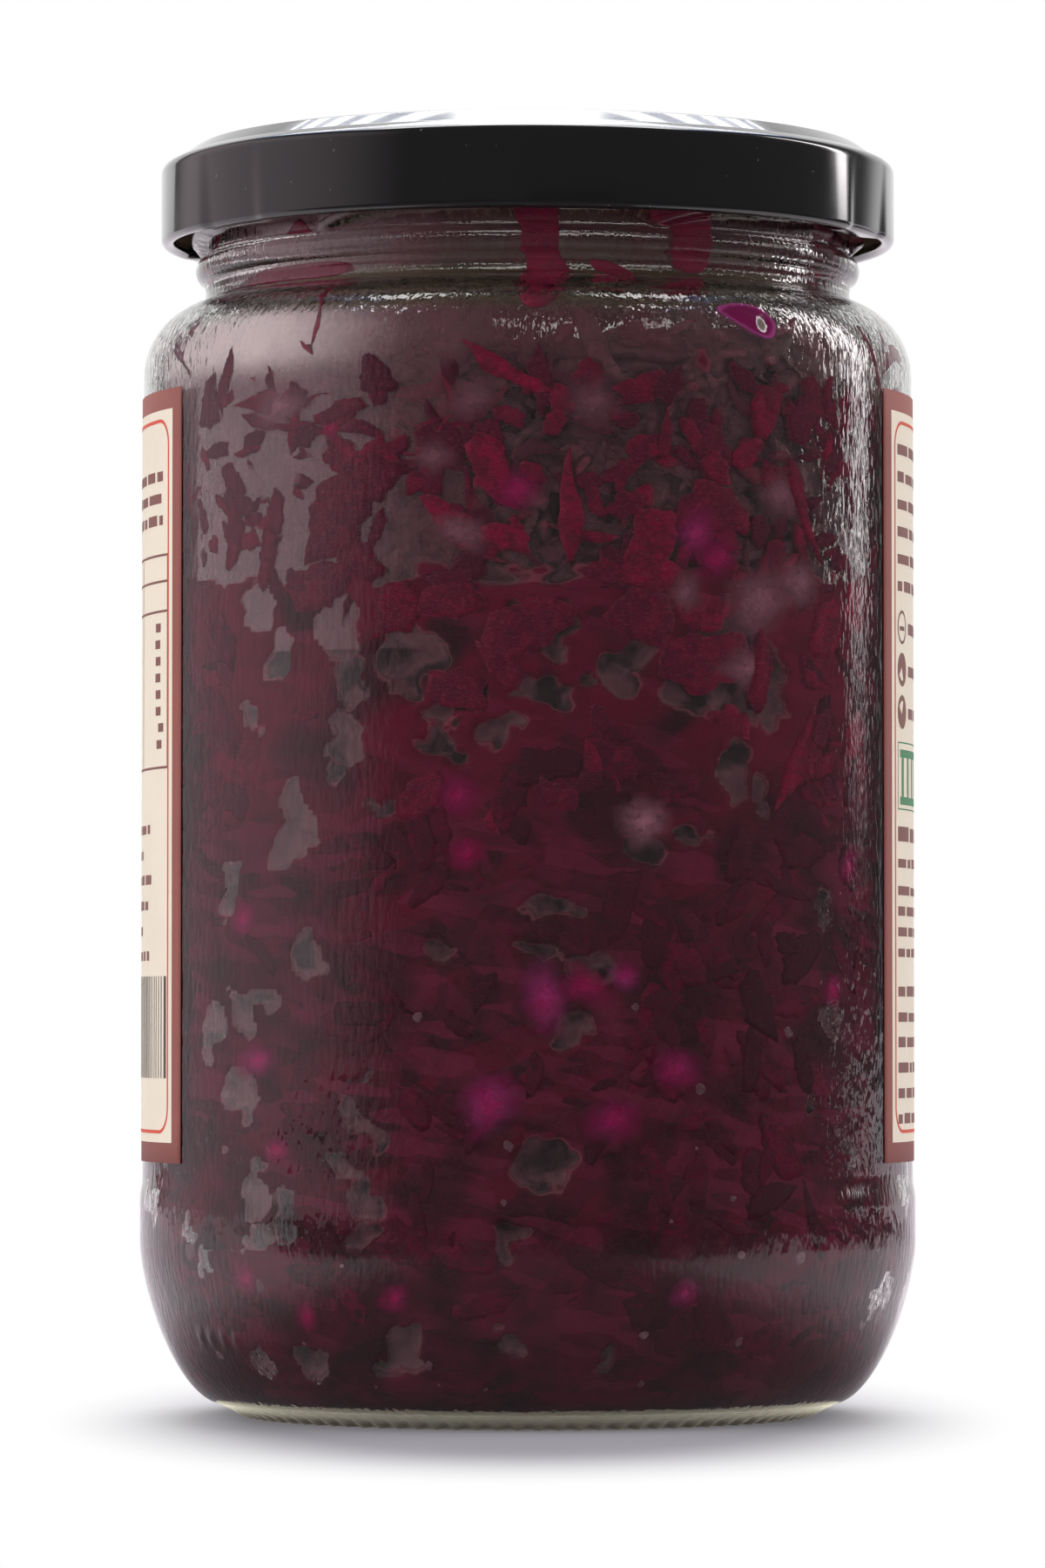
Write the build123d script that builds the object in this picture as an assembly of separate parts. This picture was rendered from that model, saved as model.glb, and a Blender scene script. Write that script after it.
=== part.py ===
from build123d import *
import math
import os

# Glass jar of shredded red-cabbage sauerkraut with a twist-off lug lid and a
# wrap-round paper label. Millimetres, +Z up, origin at the centre of the foot.
# -Y is the front, where the two ends of the label leave the glass bare.

# --- Jar: pressed soda-lime glass --------------------------------------------
BODY_R = 44.9            # heel band, the widest part of the glass
JAR_HEIGHT = 144.9       # foot to sealing rim
WALL = 2.4               # body wall
FOOT_R = 33.8            # outer edge of the flat ring that the jar stands on
FOOT_WIDTH = 2.6         # width of that ring
FOOT_CHAMFER = 1.6       # height of the small bevel under the heel
FOOT_FLARE = 2.2         # how far the bevel runs out
HEEL_TOP = 20.0          # where the heel's curve meets the upright body
HEEL_POWER = 1.5         # fullness of the heel's curve, along its height
HEEL_BULGE = 0.6         # fullness of the heel's curve, along its radius
FLOOR_THICK = 4.4        # glass under the contents at the heel
FLOOR_RISE = 2.6         # how far the floor domes up at its centre
PUSH_UP = 3.2            # hollow under the foot
PANEL_SINK = 0.3         # how far the label panel lies back from the heel band
PANEL_STEP = 1.5         # height of the slope into the panel
PANEL_BOTTOM = 27.0
SHOULDER_DROP = 24.9     # rim down to the start of the shoulder
SHOULDER_R = 8.8         # radius of the shoulder's bend
NECK_R = 37.4
NECK_WALL = 2.8
NECK_BLEND = 1.2         # fillet between shoulder and neck
BEAD_DROP = 12.5         # rim down to the middle of the transfer bead
BEAD_OUT = 1.2           # how far the bead stands out of the neck
BEAD_HEIGHT = 3.0
RIM_ROUND = 1.1

# --- Twist-off thread and lid -------------------------------------------------
LUGS = 6                 # thread starts on the glass, and lugs in the lid
THREAD_DROP = 7.6        # rim down to the middle of a thread
THREAD_OUT = 1.8         # how far a thread stands out of the neck
THREAD_HEIGHT = 2.4
THREAD_ARC = 52.0        # degrees that one thread runs round the neck
THREAD_TILT = 3.0        # degrees of climb
THREAD_PHASE = -10.0     # middle of the front thread, degrees from -Y towards +X

SKIRT_OUT = 5.2          # how far the skirt stands out from the neck
LID_SHEET = 0.3          # tinplate
LID_HEIGHT = 11.4        # curl to raised ring
COMPOUND = 1.5           # sealing compound in the channel
SEAL_CLEAR = 0.02        # compound to glass rim
CORNER_DROP = 2.4        # raised ring down to the top of the skirt
CORNER_IN = 2.1          # how far the corner's bevel runs in
RING_DROP = 1.4          # raised ring down to the bevel's inner edge
RING_WIDTH = 3.4         # flat of the raised ring
PANEL_DROP = 1.6         # raised ring down to the centre panel
PANEL_SLOPE = 1.4
STEP_R = 25.0            # faint step pressed into the panel
STEP_DROP = 0.4
BUTTON_R = 12.5          # safety button
BUTTON_RISE = 0.5
CURL_R = 0.8             # rolled wire edge
LUG_CLEAR = 0.8          # lug to the neck, less than a thread stands out
LUG_HEIGHT = 0.9
LUG_ARC = 14.0           # degrees that one lug covers
LUG_PHASE = 7.3          # middle of the front lug, degrees from -Y towards +X

# --- Paper label --------------------------------------------------------------
LABEL_THICK = 0.12
LABEL_CLEAR = 0.03       # glue line
LABEL_LOW_MARGIN = 2.4   # bare panel below the label
LABEL_TOP_MARGIN = 2.6   # bare panel above it
LABEL_LEFT = -61.4       # degrees from -Y to the label's two ends
LABEL_RIGHT = 64.8

# --- Contents -----------------------------------------------------------------
FILL_DROP = 24.9         # rim down to the mean level of the shreds
FILL_CLEAR = 0.05        # contents to glass
HEAP_GRID = 17           # points across the heap's surface
STUCK_THICK = 1.0        # a shred stuck to the glass above the contents
STUCK_CLEAR = 0.05


def heel_points(r_low, z_low, r_high, z_high, count=9):
    """Points up the heel's curve, which starts flat and ends upright."""
    points = []
    for i in range(count):
        t = i / (count - 1)
        rise = (1 - (1 - t) ** HEEL_POWER) ** HEEL_BULGE
        points.append((r_low + (r_high - r_low) * rise, z_low + (z_high - z_low) * t))
    return points


def turned(face, degrees=360.0, start=0.0):
    """Revolve a radius-height face about the upright axis.

    The sweep starts `start` degrees round from -Y towards +X.
    """
    upright = Plane((0, 0, 0), x_dir=(0, -1, 0), z_dir=(-1, 0, 0))
    return Rot(0, 0, start) * revolve(upright * face, Axis.Z, degrees)


# --- Jar ----------------------------------------------------------------------
shoulder_z = JAR_HEIGHT - SHOULDER_DROP
inner_r = BODY_R - WALL - PANEL_SINK
bore_r = NECK_R - NECK_WALL
kink = (FOOT_R + FOOT_FLARE, FOOT_CHAMFER)


def cavity_face(clear=0.0):
    """Radius-height face of the space inside the glass, drawn in by `clear`."""
    floor_z = FLOOR_THICK + clear
    wall_r = inner_r - clear
    heel = heel_points(FOOT_R - clear, floor_z, wall_r, HEEL_TOP + clear)
    bend = SHOULDER_R - WALL
    bend_end = (wall_r - bend, shoulder_z - clear + bend)
    dome = ThreePointArc(
        (0, floor_z + FLOOR_RISE),
        ((FOOT_R - clear) * 0.55, floor_z + FLOOR_RISE * 0.66),
        heel[0],
    )
    outline = [
        dome,
        Spline(heel, tangents=[(1, 0), (0, 1)]),
        Line(heel[-1], (wall_r, shoulder_z - clear)),
        RadiusArc((wall_r, shoulder_z - clear), bend_end, -bend),
        Line(bend_end, (0, bend_end[1])),
        Line((0, bend_end[1]), (0, floor_z + FLOOR_RISE)),
    ]
    body = make_face(outline)
    bore = Pos(0, shoulder_z) * Rectangle(
        bore_r - clear, SHOULDER_DROP + 1, align=(Align.MIN, Align.MIN)
    )
    return body + bore


def glass_face():
    """Radius-height face of the glass."""
    panel_r = BODY_R - PANEL_SINK
    heel = heel_points(*kink, BODY_R, HEEL_TOP)
    hollow_r = FOOT_R - FOOT_WIDTH
    bend_end = (panel_r - SHOULDER_R, shoulder_z + SHOULDER_R)
    outline = [
        ThreePointArc((0, PUSH_UP), (hollow_r * 0.6, PUSH_UP * 0.72), (hollow_r, 0)),
        Line((hollow_r, 0), (FOOT_R, 0)),
        Line((FOOT_R, 0), kink),
        Spline(heel, tangents=[(1, 0.4), (0, 1)]),
        Polyline(
            (BODY_R, HEEL_TOP),
            (BODY_R, PANEL_BOTTOM - PANEL_STEP),
            (panel_r, PANEL_BOTTOM),
            (panel_r, shoulder_z),
        ),
        RadiusArc((panel_r, shoulder_z), bend_end, -SHOULDER_R),
        Line(bend_end, (0, bend_end[1])),
        Line((0, bend_end[1]), (0, PUSH_UP)),
    ]
    body = make_face(outline)
    neck = Pos(0, shoulder_z) * Rectangle(NECK_R, SHOULDER_DROP, align=(Align.MIN, Align.MIN))
    bead = Pos(NECK_R, JAR_HEIGHT - BEAD_DROP) * Ellipse(BEAD_OUT, BEAD_HEIGHT / 2)
    solid = body + neck + bead - cavity_face()
    joint = solid.vertices().sort_by_distance((NECK_R, shoulder_z + SHOULDER_R, 0))[0]
    solid = fillet(joint, NECK_BLEND)
    rim = solid.vertices().group_by(Axis.Y)[-1]
    return fillet(rim, RIM_ROUND)


def thread(number):
    """One raised thread, climbing round the neck."""
    section = Pos(NECK_R, 0) * Ellipse(THREAD_OUT, THREAD_HEIGHT / 2)
    ridge = turned(section, THREAD_ARC, -THREAD_ARC / 2)
    climb = Pos(0, 0, JAR_HEIGHT - THREAD_DROP) * Rot(0, -THREAD_TILT, 0) * ridge
    return Rot(0, 0, THREAD_PHASE + number * 360 / LUGS) * climb


jar = turned(glass_face())
for number in range(LUGS):
    jar += thread(number)


# --- Lid ----------------------------------------------------------------------
lid_r = NECK_R + SKIRT_OUT
lid_top = JAR_HEIGHT + SEAL_CLEAR + COMPOUND + LID_SHEET
lid_bottom = lid_top - LID_HEIGHT
ring_outer = NECK_R + RIM_ROUND
ring_inner = ring_outer - RING_WIDTH
panel_edge = ring_inner - PANEL_SLOPE


def lid_face():
    """Radius-height face of the pressed lid, with the compound in its channel."""
    mid = LID_SHEET / 2
    panel_z = lid_top - PANEL_DROP - mid
    corner_z = lid_top - CORNER_DROP
    sheet = FilletPolyline(
        (lid_r - mid, lid_bottom + CURL_R),
        (lid_r - mid, corner_z),
        (lid_r - CORNER_IN, lid_top - RING_DROP - mid),
        (ring_outer, lid_top - mid),
        (ring_inner, lid_top - mid),
        (panel_edge, panel_z),
        (STEP_R + STEP_DROP, panel_z),
        (STEP_R, panel_z - STEP_DROP),
        (BUTTON_R + BUTTON_RISE, panel_z - STEP_DROP),
        (BUTTON_R, panel_z - STEP_DROP + BUTTON_RISE),
        (0, panel_z - STEP_DROP + BUTTON_RISE),
        radius=[1.2, 0.9, 0.8, 0.8, 0.8, 0.3, 0.3, 0.3, 0.3],
    )
    skin = trace(sheet, LID_SHEET)
    curl = Pos(lid_r - CURL_R, lid_bottom + CURL_R) * Circle(CURL_R)
    seal = Pos((ring_outer + ring_inner) / 2, JAR_HEIGHT + SEAL_CLEAR) * Rectangle(
        RING_WIDTH, COMPOUND + mid, align=(Align.CENTER, Align.MIN)
    )
    return skin + curl + seal


lid = turned(lid_face())
lug_r = NECK_R + LUG_CLEAR
lug_section = Pos(lug_r, lid_bottom + CURL_R - LUG_HEIGHT / 2) * Rectangle(
    lid_r - CURL_R - lug_r, LUG_HEIGHT, align=(Align.MIN, Align.MIN)
)
for number in range(LUGS):
    lid += turned(lug_section, LUG_ARC, LUG_PHASE - LUG_ARC / 2 + number * 360 / LUGS)


# --- Label --------------------------------------------------------------------
label_r = BODY_R - PANEL_SINK + LABEL_CLEAR
label_bottom = PANEL_BOTTOM + LABEL_LOW_MARGIN
label_height = shoulder_z - LABEL_TOP_MARGIN - label_bottom
label_section = Pos(label_r, label_bottom) * Rectangle(
    LABEL_THICK, label_height, align=(Align.MIN, Align.MIN)
)
label = turned(label_section, 360 - (LABEL_RIGHT - LABEL_LEFT), LABEL_RIGHT)


# --- Contents -----------------------------------------------------------------
def heap_height(x, y):
    """Level of the heaped shreds at a point, in soft uneven mounds."""
    mounds = 0.9 * math.sin(x / 7.3 + 1.1) * math.cos(y / 8.9 - 0.4)
    tufts = 0.5 * math.sin((x + y) / 4.7 + 0.7) + 0.4 * math.cos((x - 1.7 * y) / 6.1)
    dish = 1.2 * (math.hypot(x, y) / inner_r) ** 2 - 0.6
    return JAR_HEIGHT - FILL_DROP + mounds + tufts + dish


def heap_surface():
    """The heap's uneven top, a little wider than the jar."""
    reach = inner_r + 4
    step = 2 * reach / (HEAP_GRID - 1)
    rows = []
    for i in range(HEAP_GRID):
        x = -reach + i * step
        ys = [-reach + j * step for j in range(HEAP_GRID)]
        rows.append([Vector(x, y, heap_height(x, y)) for y in ys])
    return Face.make_surface_from_array_of_points(rows)


above_heap = extrude(heap_surface(), amount=JAR_HEIGHT, dir=(0, 0, 1))
kraut = turned(cavity_face(FILL_CLEAR)) - above_heap


# --- Shreds stuck to the glass above the contents -----------------------------
# Name, degrees from -Y, rim down to its middle, and a flat outline about that.
STUCK = {
    "shred_neck_long": (
        1.8, 13.9,
        [(-3.0, 7.5), (1.6, 7.0), (2.4, 0.5), (3.6, -3.5), (0.6, -7.0), (-2.2, -6.2), (-1.2, -1.0)],
    ),
    "shred_neck_broad": (
        29.0, 11.9,
        [(-4.6, 5.5), (3.0, 5.6), (3.4, -1.5), (2.0, -4.2), (-0.8, -3.6), (-1.6, 0.5)],
    ),
    "shred_neck_small": (
        15.5, 16.7,
        [(-2.6, 2.2), (0.4, 1.6), (2.4, -0.6), (1.9, -1.9), (-0.4, -1.8)],
    ),
    "shred_neck_band": (
        -46.0, 15.3,
        [(-7.5, 1.2), (-2.0, 1.9), (6.2, 1.7), (7.4, -0.6), (0.4, -1.6), (-4.2, -1.5), (-6.0, -2.8)],
    ),
    "shred_neck_flake": (
        -46.0, 10.3,
        [(-1.9, -0.9), (-0.6, 1.1), (0.7, 1.0), (1.9, -0.9)],
    ),
}

wall_skin = turned(cavity_face(STUCK_CLEAR) - cavity_face(STUCK_CLEAR + STUCK_THICK))


def stuck_shred(angle, drop, outline):
    """A flat scrap of cabbage lying against the glass."""
    face = make_face(Spline(outline, periodic=True))
    outward = Plane((0, 0, JAR_HEIGHT - drop), x_dir=(1, 0, 0), z_dir=(0, -1, 0))
    punch = extrude(outward * face, amount=BODY_R)
    return (Rot(0, 0, angle) * punch) & wall_skin


# --- Output -------------------------------------------------------------------
nodes = {"jar": jar, "lid": lid, "label": label, "kraut": kraut}
for name, place in STUCK.items():
    nodes[name] = stuck_shred(*place)

os.makedirs("parts", exist_ok=True)
for name, shape in nodes.items():
    export_step(shape, f"parts/{name}.step")
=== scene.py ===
import math
import random

import bmesh
import bpy
import numpy as np
from mathutils import Matrix, Vector, noise


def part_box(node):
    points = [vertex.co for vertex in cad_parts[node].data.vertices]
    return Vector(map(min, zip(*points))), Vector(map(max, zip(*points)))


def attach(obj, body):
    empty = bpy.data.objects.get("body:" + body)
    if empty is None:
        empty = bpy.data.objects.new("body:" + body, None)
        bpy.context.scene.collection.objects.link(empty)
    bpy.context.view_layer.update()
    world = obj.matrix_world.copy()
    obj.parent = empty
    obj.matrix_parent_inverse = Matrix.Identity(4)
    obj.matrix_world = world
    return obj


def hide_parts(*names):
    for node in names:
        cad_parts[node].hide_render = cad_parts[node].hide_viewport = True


# Glass jar of shredded red-cabbage sauerkraut with a black twist-off lid and a
# paper label round its back and sides. Metres, +Z up, -Y is the bare front.
# Angles go round from -Y towards +X. Outlines and sizes are in millimetres.
mm = 0.001
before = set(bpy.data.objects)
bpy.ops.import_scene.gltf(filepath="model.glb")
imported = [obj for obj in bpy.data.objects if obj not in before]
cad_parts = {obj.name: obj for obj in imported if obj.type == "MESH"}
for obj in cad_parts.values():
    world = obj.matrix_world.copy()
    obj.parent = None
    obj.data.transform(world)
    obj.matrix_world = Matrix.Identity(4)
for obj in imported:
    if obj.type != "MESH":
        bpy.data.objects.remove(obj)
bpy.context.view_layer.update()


# === Studio ===================================================================
# A pale table in front of a white backdrop. A softbox hangs overhead, a large
# white card stands at the left and a narrow strip light behind at the right.
CAMERA_PLACE = (-0.0006, -0.809, 0.0459)
CAMERA_PITCH = 1.919         # degrees up
CAMERA_LENS = 160.0
FLOOR_WIDE = 6.0
FLOOR_COLOUR = (0.50, 0.48, 0.52, 1)
GLOW_START = 0.030           # metres aside where the table starts to burn out
GLOW_END = 0.057
FRONT_REACH = 0.45           # in front it starts at one over this times as far
# Where the floor shades off, as metres from zero to full
BEHIND_FADE = (-0.02, 0.10)
ASIDE_FADE = (0.038, 0.085)
ASIDE_FRONT = (-0.15, -0.05)
FAR_RIGHT = (0.22, 0.45)
FAR_FRONT = (0.60, 0.45)
FRONT_FADE = (0.12, 0.5)
FOOT_SPOT = 0.037            # radius of the painted glow on the floor under the foot, seen only in gloss and through glass
FOOT_RING = (0.0322, 0.0350)
DEEP_PATH = 3.5              # after this many bends in glass the backdrop shows white
BACKDROP = (0.62, 0.82)      # how far back a direction points where the backdrop begins
FRONT_DARK = 0.10            # the unlit room behind the camera
MIX_A = 6                    # sockets of the colour Mix node
MIX_B = 7
MIX_RESULT = 2


def add(tree, kind, inputs=None, **settings):
    """Adds a shader node, then sets or links its inputs by name or number."""
    made = tree.nodes.new(kind)
    for key, value in settings.items():
        setattr(made, key, value)
    for key, value in (inputs or {}).items():
        if isinstance(value, bpy.types.NodeSocket):
            tree.links.new(value, made.inputs[key])
        else:
            made.inputs[key].default_value = value
    return made


def maths(tree, operation, *values):
    """One Math node; returns its output."""
    return add(tree, "ShaderNodeMath", dict(enumerate(values)), operation=operation).outputs[0]


def mixed(tree, factor, first, second):
    """A colour Mix node; returns its output."""
    made = add(tree, "ShaderNodeMix", data_type="RGBA")
    for key, value in ((0, factor), (MIX_A, first), (MIX_B, second)):
        if isinstance(value, bpy.types.NodeSocket):
            tree.links.new(value, made.inputs[key])
        else:
            made.inputs[key].default_value = value
    return made.outputs[MIX_RESULT]


def smooth_range(tree, value, low, high):
    """Goes smoothly from 0 at low to 1 at high; low may be the larger."""
    made = add(tree, "ShaderNodeMapRange", {0: value, 1: low, 2: high}, interpolation_type="SMOOTHSTEP")
    return made.outputs[0]


def times(tree, first, second):
    """The product of two values."""
    return maths(tree, "MULTIPLY", first, second)


def tinted(tree, mask, share, base, colour):
    """The base, with this share of the colour where the mask is 1."""
    return mixed(tree, times(tree, mask, share), base, colour)


def spot_of(tree):
    """The shaded point in its object's own metres."""
    return add(tree, "ShaderNodeTexCoord").outputs["Object"]


def split(tree, vector):
    """The three parts of a vector."""
    return add(tree, "ShaderNodeSeparateXYZ", {0: vector}).outputs


def to_output(tree, shader):
    """Links this shader to the material's output."""
    add(tree, "ShaderNodeOutputMaterial", {"Surface": shader.outputs[0]})


def new_material(name):
    """An empty node material and its tree."""
    material = bpy.data.materials.new(name)
    material.use_nodes = True
    material.node_tree.nodes.clear()
    return material, material.node_tree


def paint(red, green, blue):
    """A colour as it is named on a screen, 0 to 255, as the linear values of a socket."""
    def linear(value):
        share = value / 255
        return share / 12.92 if share <= 0.04045 else ((share + 0.055) / 1.055) ** 2.4
    return (linear(red), linear(green), linear(blue), 1)


def link_new(name, data):
    """A new object of this data, in the scene."""
    made = bpy.data.objects.new(name, data)
    bpy.context.scene.collection.objects.link(made)
    return made


def meshed(bm, name):
    """The bmesh as a mesh of this name."""
    mesh = bpy.data.meshes.new(name)
    bm.to_mesh(mesh)
    bm.free()
    return mesh


def flat_sheet(name, width, height):
    """A level rectangle about the origin, as an object."""
    bm = bmesh.new()
    bmesh.ops.create_grid(bm, x_segments=1, y_segments=1, size=0.5)
    bmesh.ops.scale(bm, vec=(width, height, 1), verts=bm.verts[:])
    return link_new(name, meshed(bm, name))


camera_data = bpy.data.cameras.new("camera")
camera_data.lens = CAMERA_LENS
camera = link_new("camera", camera_data)
camera.location = CAMERA_PLACE
camera.rotation_euler = (math.radians(90 + CAMERA_PITCH), 0, 0)
bpy.context.scene.camera = camera
bpy.context.scene.view_settings.view_transform = "Standard"


def seen_directly(tree):
    """1 for rays that see the surroundings from the camera, in gloss or through glass."""
    path = add(tree, "ShaderNodeLightPath")
    either = maths(tree, "MAXIMUM", path.outputs["Is Camera Ray"], path.outputs["Is Glossy Ray"])
    return maths(tree, "MAXIMUM", either, path.outputs["Is Transmission Ray"])


def studio_card(name, width, height, place, turn, strength, material_maker):
    """A glowing card that only gloss and glass see."""
    card = flat_sheet(name, width, height)
    card.location = place
    card.rotation_euler = turn
    material, tree = new_material(name)
    glow = add(tree, "ShaderNodeEmission", {"Color": material_maker(tree), "Strength": strength})
    to_output(tree, glow)
    card.data.materials.append(material)
    card.visible_camera = False
    card.visible_diffuse = False
    card.visible_shadow = False


def soft_edges(tree, half_x, half_y, fade_low, fade_high, fade_y, fade_foot):
    """White in the middle of a card, fading to black towards its edges."""
    parts = split(tree, spot_of(tree))
    low = smooth_range(tree, parts[0], -half_x, -half_x + fade_low)
    high = smooth_range(tree, parts[0], half_x, half_x - fade_high)
    top = smooth_range(tree, parts[1], half_y, half_y - fade_y)
    foot = smooth_range(tree, parts[1], -half_y, -half_y + fade_foot)
    along = times(tree, top, foot)
    return times(tree, times(tree, low, high), along)


SIDE_CARD = (2.1, 1.3)       # width and height
SIDE_TURN = -90.0            # degrees from -Y, seen from the jar
SIDE_AWAY = 0.75
STRIP_CARD = (0.11, 1.0)
STRIP_TURN = 113.0
STRIP_AWAY = 0.75
SLAT_PITCH = 0.095
SOFTBOX_HEIGHT = 0.9
SOFTBOX_BACK = 0.40
CARD_Z = 0.55                # height of the middle of both upright cards


def card_place(turn, away, height):
    """Where a card stands, seen from the jar at this turn."""
    angle = math.radians(turn)
    return (away * math.sin(angle), -away * math.cos(angle), height)


def side_glow(tree):
    """Faintly lilac, and no brighter than the unlit room at its edges."""
    fade = soft_edges(tree, SIDE_CARD[0] / 2, SIDE_CARD[1] / 2, 0.5, 0.95, 0.3, 0.02)
    return mixed(tree, fade, (FRONT_DARK, FRONT_DARK, FRONT_DARK, 1), (1.0, 0.86, 0.92, 1))


def strip_glow(tree):
    """White along its middle."""
    fade = soft_edges(tree, STRIP_CARD[0] / 2, STRIP_CARD[1] / 2, 0.04, 0.02, 0.2, 0.26)
    return mixed(tree, fade, (0, 0, 0, 1), (1.0, 0.95, 0.97, 1))


def slat_glow(tree):
    """White softbox whose far part shows dark blue slats."""
    parts = split(tree, spot_of(tree))
    wave = maths(tree, "SINE", times(tree, parts[1], 2 * math.pi / SLAT_PITCH))
    slat = smooth_range(tree, wave, -0.10, 0.20)
    far = smooth_range(tree, parts[1], -0.30, -0.27)
    aside = maths(tree, "ABSOLUTE", parts[0])
    dark = times(tree, times(tree, slat, far), smooth_range(tree, aside, 0.08, 0.13))
    dark = maths(tree, "MAXIMUM", dark, smooth_range(tree, aside, 0.33, 0.40))
    return mixed(tree, dark, (1, 1, 1, 1), (0.02, 0.035, 0.09, 1))


for name, size, turn, away, strength, material_maker in (
    ("card_left", SIDE_CARD, SIDE_TURN, SIDE_AWAY, 0.72, side_glow),
    ("card_right", STRIP_CARD, STRIP_TURN, STRIP_AWAY, 11.0, strip_glow),
):
    upright = (math.radians(90), 0, math.radians(turn))
    studio_card(name, *size, card_place(turn, away, CARD_Z), upright, strength, material_maker)
studio_card("card_top", 0.9, 0.9, (0, SOFTBOX_BACK, SOFTBOX_HEIGHT), (0, 0, 0), 8.5, slat_glow)
studio_card(
    "card_top_left", 0.6, 0.9, (-0.95, -0.25, 0.80), (0, math.radians(40), 0), 3.5,
    lambda tree: (1.0, 0.94, 0.97, 1),
)

# Area lights: name, side, place, height of the point on the axis they face, radiance
for name, size, place, aim_z, radiance in (
    ("softbox", 0.5, (0.0, 0.42, SOFTBOX_HEIGHT), 0.05, 12.0),
    ("fill", 1.4, (-0.4, -1.3, 0.7), 0.07, 0.62),
    ("left_wash", 0.8, (-0.85, -0.35, 0.35), 0.07, 2.5),
    ("right_wash", 0.8, (0.85, -0.05, 0.35), 0.07, 1.9),
):
    data = bpy.data.lights.new(name, "AREA")
    data.size = size
    data.energy = radiance * math.pi * size * size
    lamp = link_new(name, data)
    lamp.location = place
    lamp.rotation_euler = (Vector((0, 0, aim_z)) - Vector(place)).to_track_quat("-Z", "Y").to_euler()
    lamp.visible_camera = False
    lamp.visible_glossy = False
    lamp.visible_transmission = False

world = bpy.data.worlds.new("studio")
bpy.context.scene.world = world
world.use_nodes = True
tree = world.node_tree
tree.nodes.clear()
direction = add(tree, "ShaderNodeTexCoord").outputs["Generated"]
backward = split(tree, direction)[1]
behind = smooth_range(tree, backward, *BACKDROP)
seen = add(tree, "ShaderNodeLightPath")
through = maths(tree, "GREATER_THAN", seen.outputs["Transmission Depth"], DEEP_PATH)
lit = maths(tree, "MAXIMUM", maths(tree, "MAXIMUM", seen.outputs["Is Camera Ray"], through), behind)
gloss_view = mixed(tree, lit, (FRONT_DARK, FRONT_DARK, FRONT_DARK, 1), (1, 1, 1, 1))
sky = mixed(tree, seen_directly(tree), (0.42, 0.42, 0.44, 1), gloss_view)
background = add(tree, "ShaderNodeBackground", {"Color": sky, "Strength": 1.0})
add(tree, "ShaderNodeOutputWorld", {"Surface": background.outputs[0]})

table_top = flat_sheet("table_top", FLOOR_WIDE, FLOOR_WIDE)
material, tree = new_material("table_top")
spot = spot_of(tree)
squashed = add(tree, "ShaderNodeVectorMath", {0: spot, 1: (1, FRONT_REACH, 1)}, operation="MULTIPLY")
aside, away = [
    add(tree, "ShaderNodeVectorMath", {0: vector}, operation="LENGTH").outputs["Value"]
    for vector in (squashed.outputs[0], spot)
]
path = add(tree, "ShaderNodeLightPath")
camera_ray = path.outputs["Is Camera Ray"]
other_ray = maths(tree, "MAXIMUM", path.outputs["Is Glossy Ray"], path.outputs["Is Transmission Ray"])
burnt_out = times(tree, smooth_range(tree, aside, GLOW_START, GLOW_END), camera_ray)
glow = maths(tree, "MAXIMUM", burnt_out, other_ray)
matt = add(tree, "ShaderNodeBsdfDiffuse", {"Color": FLOOR_COLOUR})
spot_parts = split(tree, spot)
towards_back = smooth_range(tree, spot_parts[1], *BEHIND_FADE)
spread = maths(tree, "ABSOLUTE", spot_parts[0])
beside = smooth_range(tree, spread, *ASIDE_FADE)
towards_side = times(tree, beside, smooth_range(tree, spot_parts[1], *ASIDE_FRONT))
at_right = smooth_range(tree, spot_parts[0], *FAR_RIGHT)
far_right = times(tree, at_right, smooth_range(tree, spot_parts[1], *FAR_FRONT))
around = maths(tree, "SUBTRACT", maths(tree, "MAXIMUM", towards_back, towards_side), far_right)
around = maths(tree, "MAXIMUM", around, 0.0)
bright = maths(tree, "MAXIMUM", camera_ray, around)
# Seen in gloss and through glass the floor is painted: bright and lilac-tinted behind and aside, a painted
# reflection colour, and a painted shadow in front and far right that darkens further off
painted_front_shade = mixed(tree, smooth_range(tree, away, *FRONT_FADE), (0.17, 0.16, 0.17, 1), (0.06, 0.06, 0.06, 1))
lilac = mixed(tree, camera_ray, (1.0, 0.93, 0.99, 1), (1, 1, 1, 1))
around_jar = mixed(tree, bright, painted_front_shade, lilac)
# Under the foot the floor glows pale yellow in a ring and stays dark inside it, for gloss and glass only: a
# painted glow, no lamp
under_foot = times(tree, maths(tree, "LESS_THAN", away, FOOT_SPOT), other_ray)
ring = smooth_range(tree, away, *FOOT_RING)
painted_foot_glow = mixed(tree, ring, (0.16, 0.14, 0.12, 1), (1.0, 0.96, 0.76, 1))
lit_floor = mixed(tree, under_foot, around_jar, painted_foot_glow)
white = add(tree, "ShaderNodeEmission", {"Color": lit_floor})
both = add(tree, "ShaderNodeMixShader", {0: glow, 1: matt.outputs[0], 2: white.outputs[0]})
to_output(tree, both)
table_top.data.materials.append(material)


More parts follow.
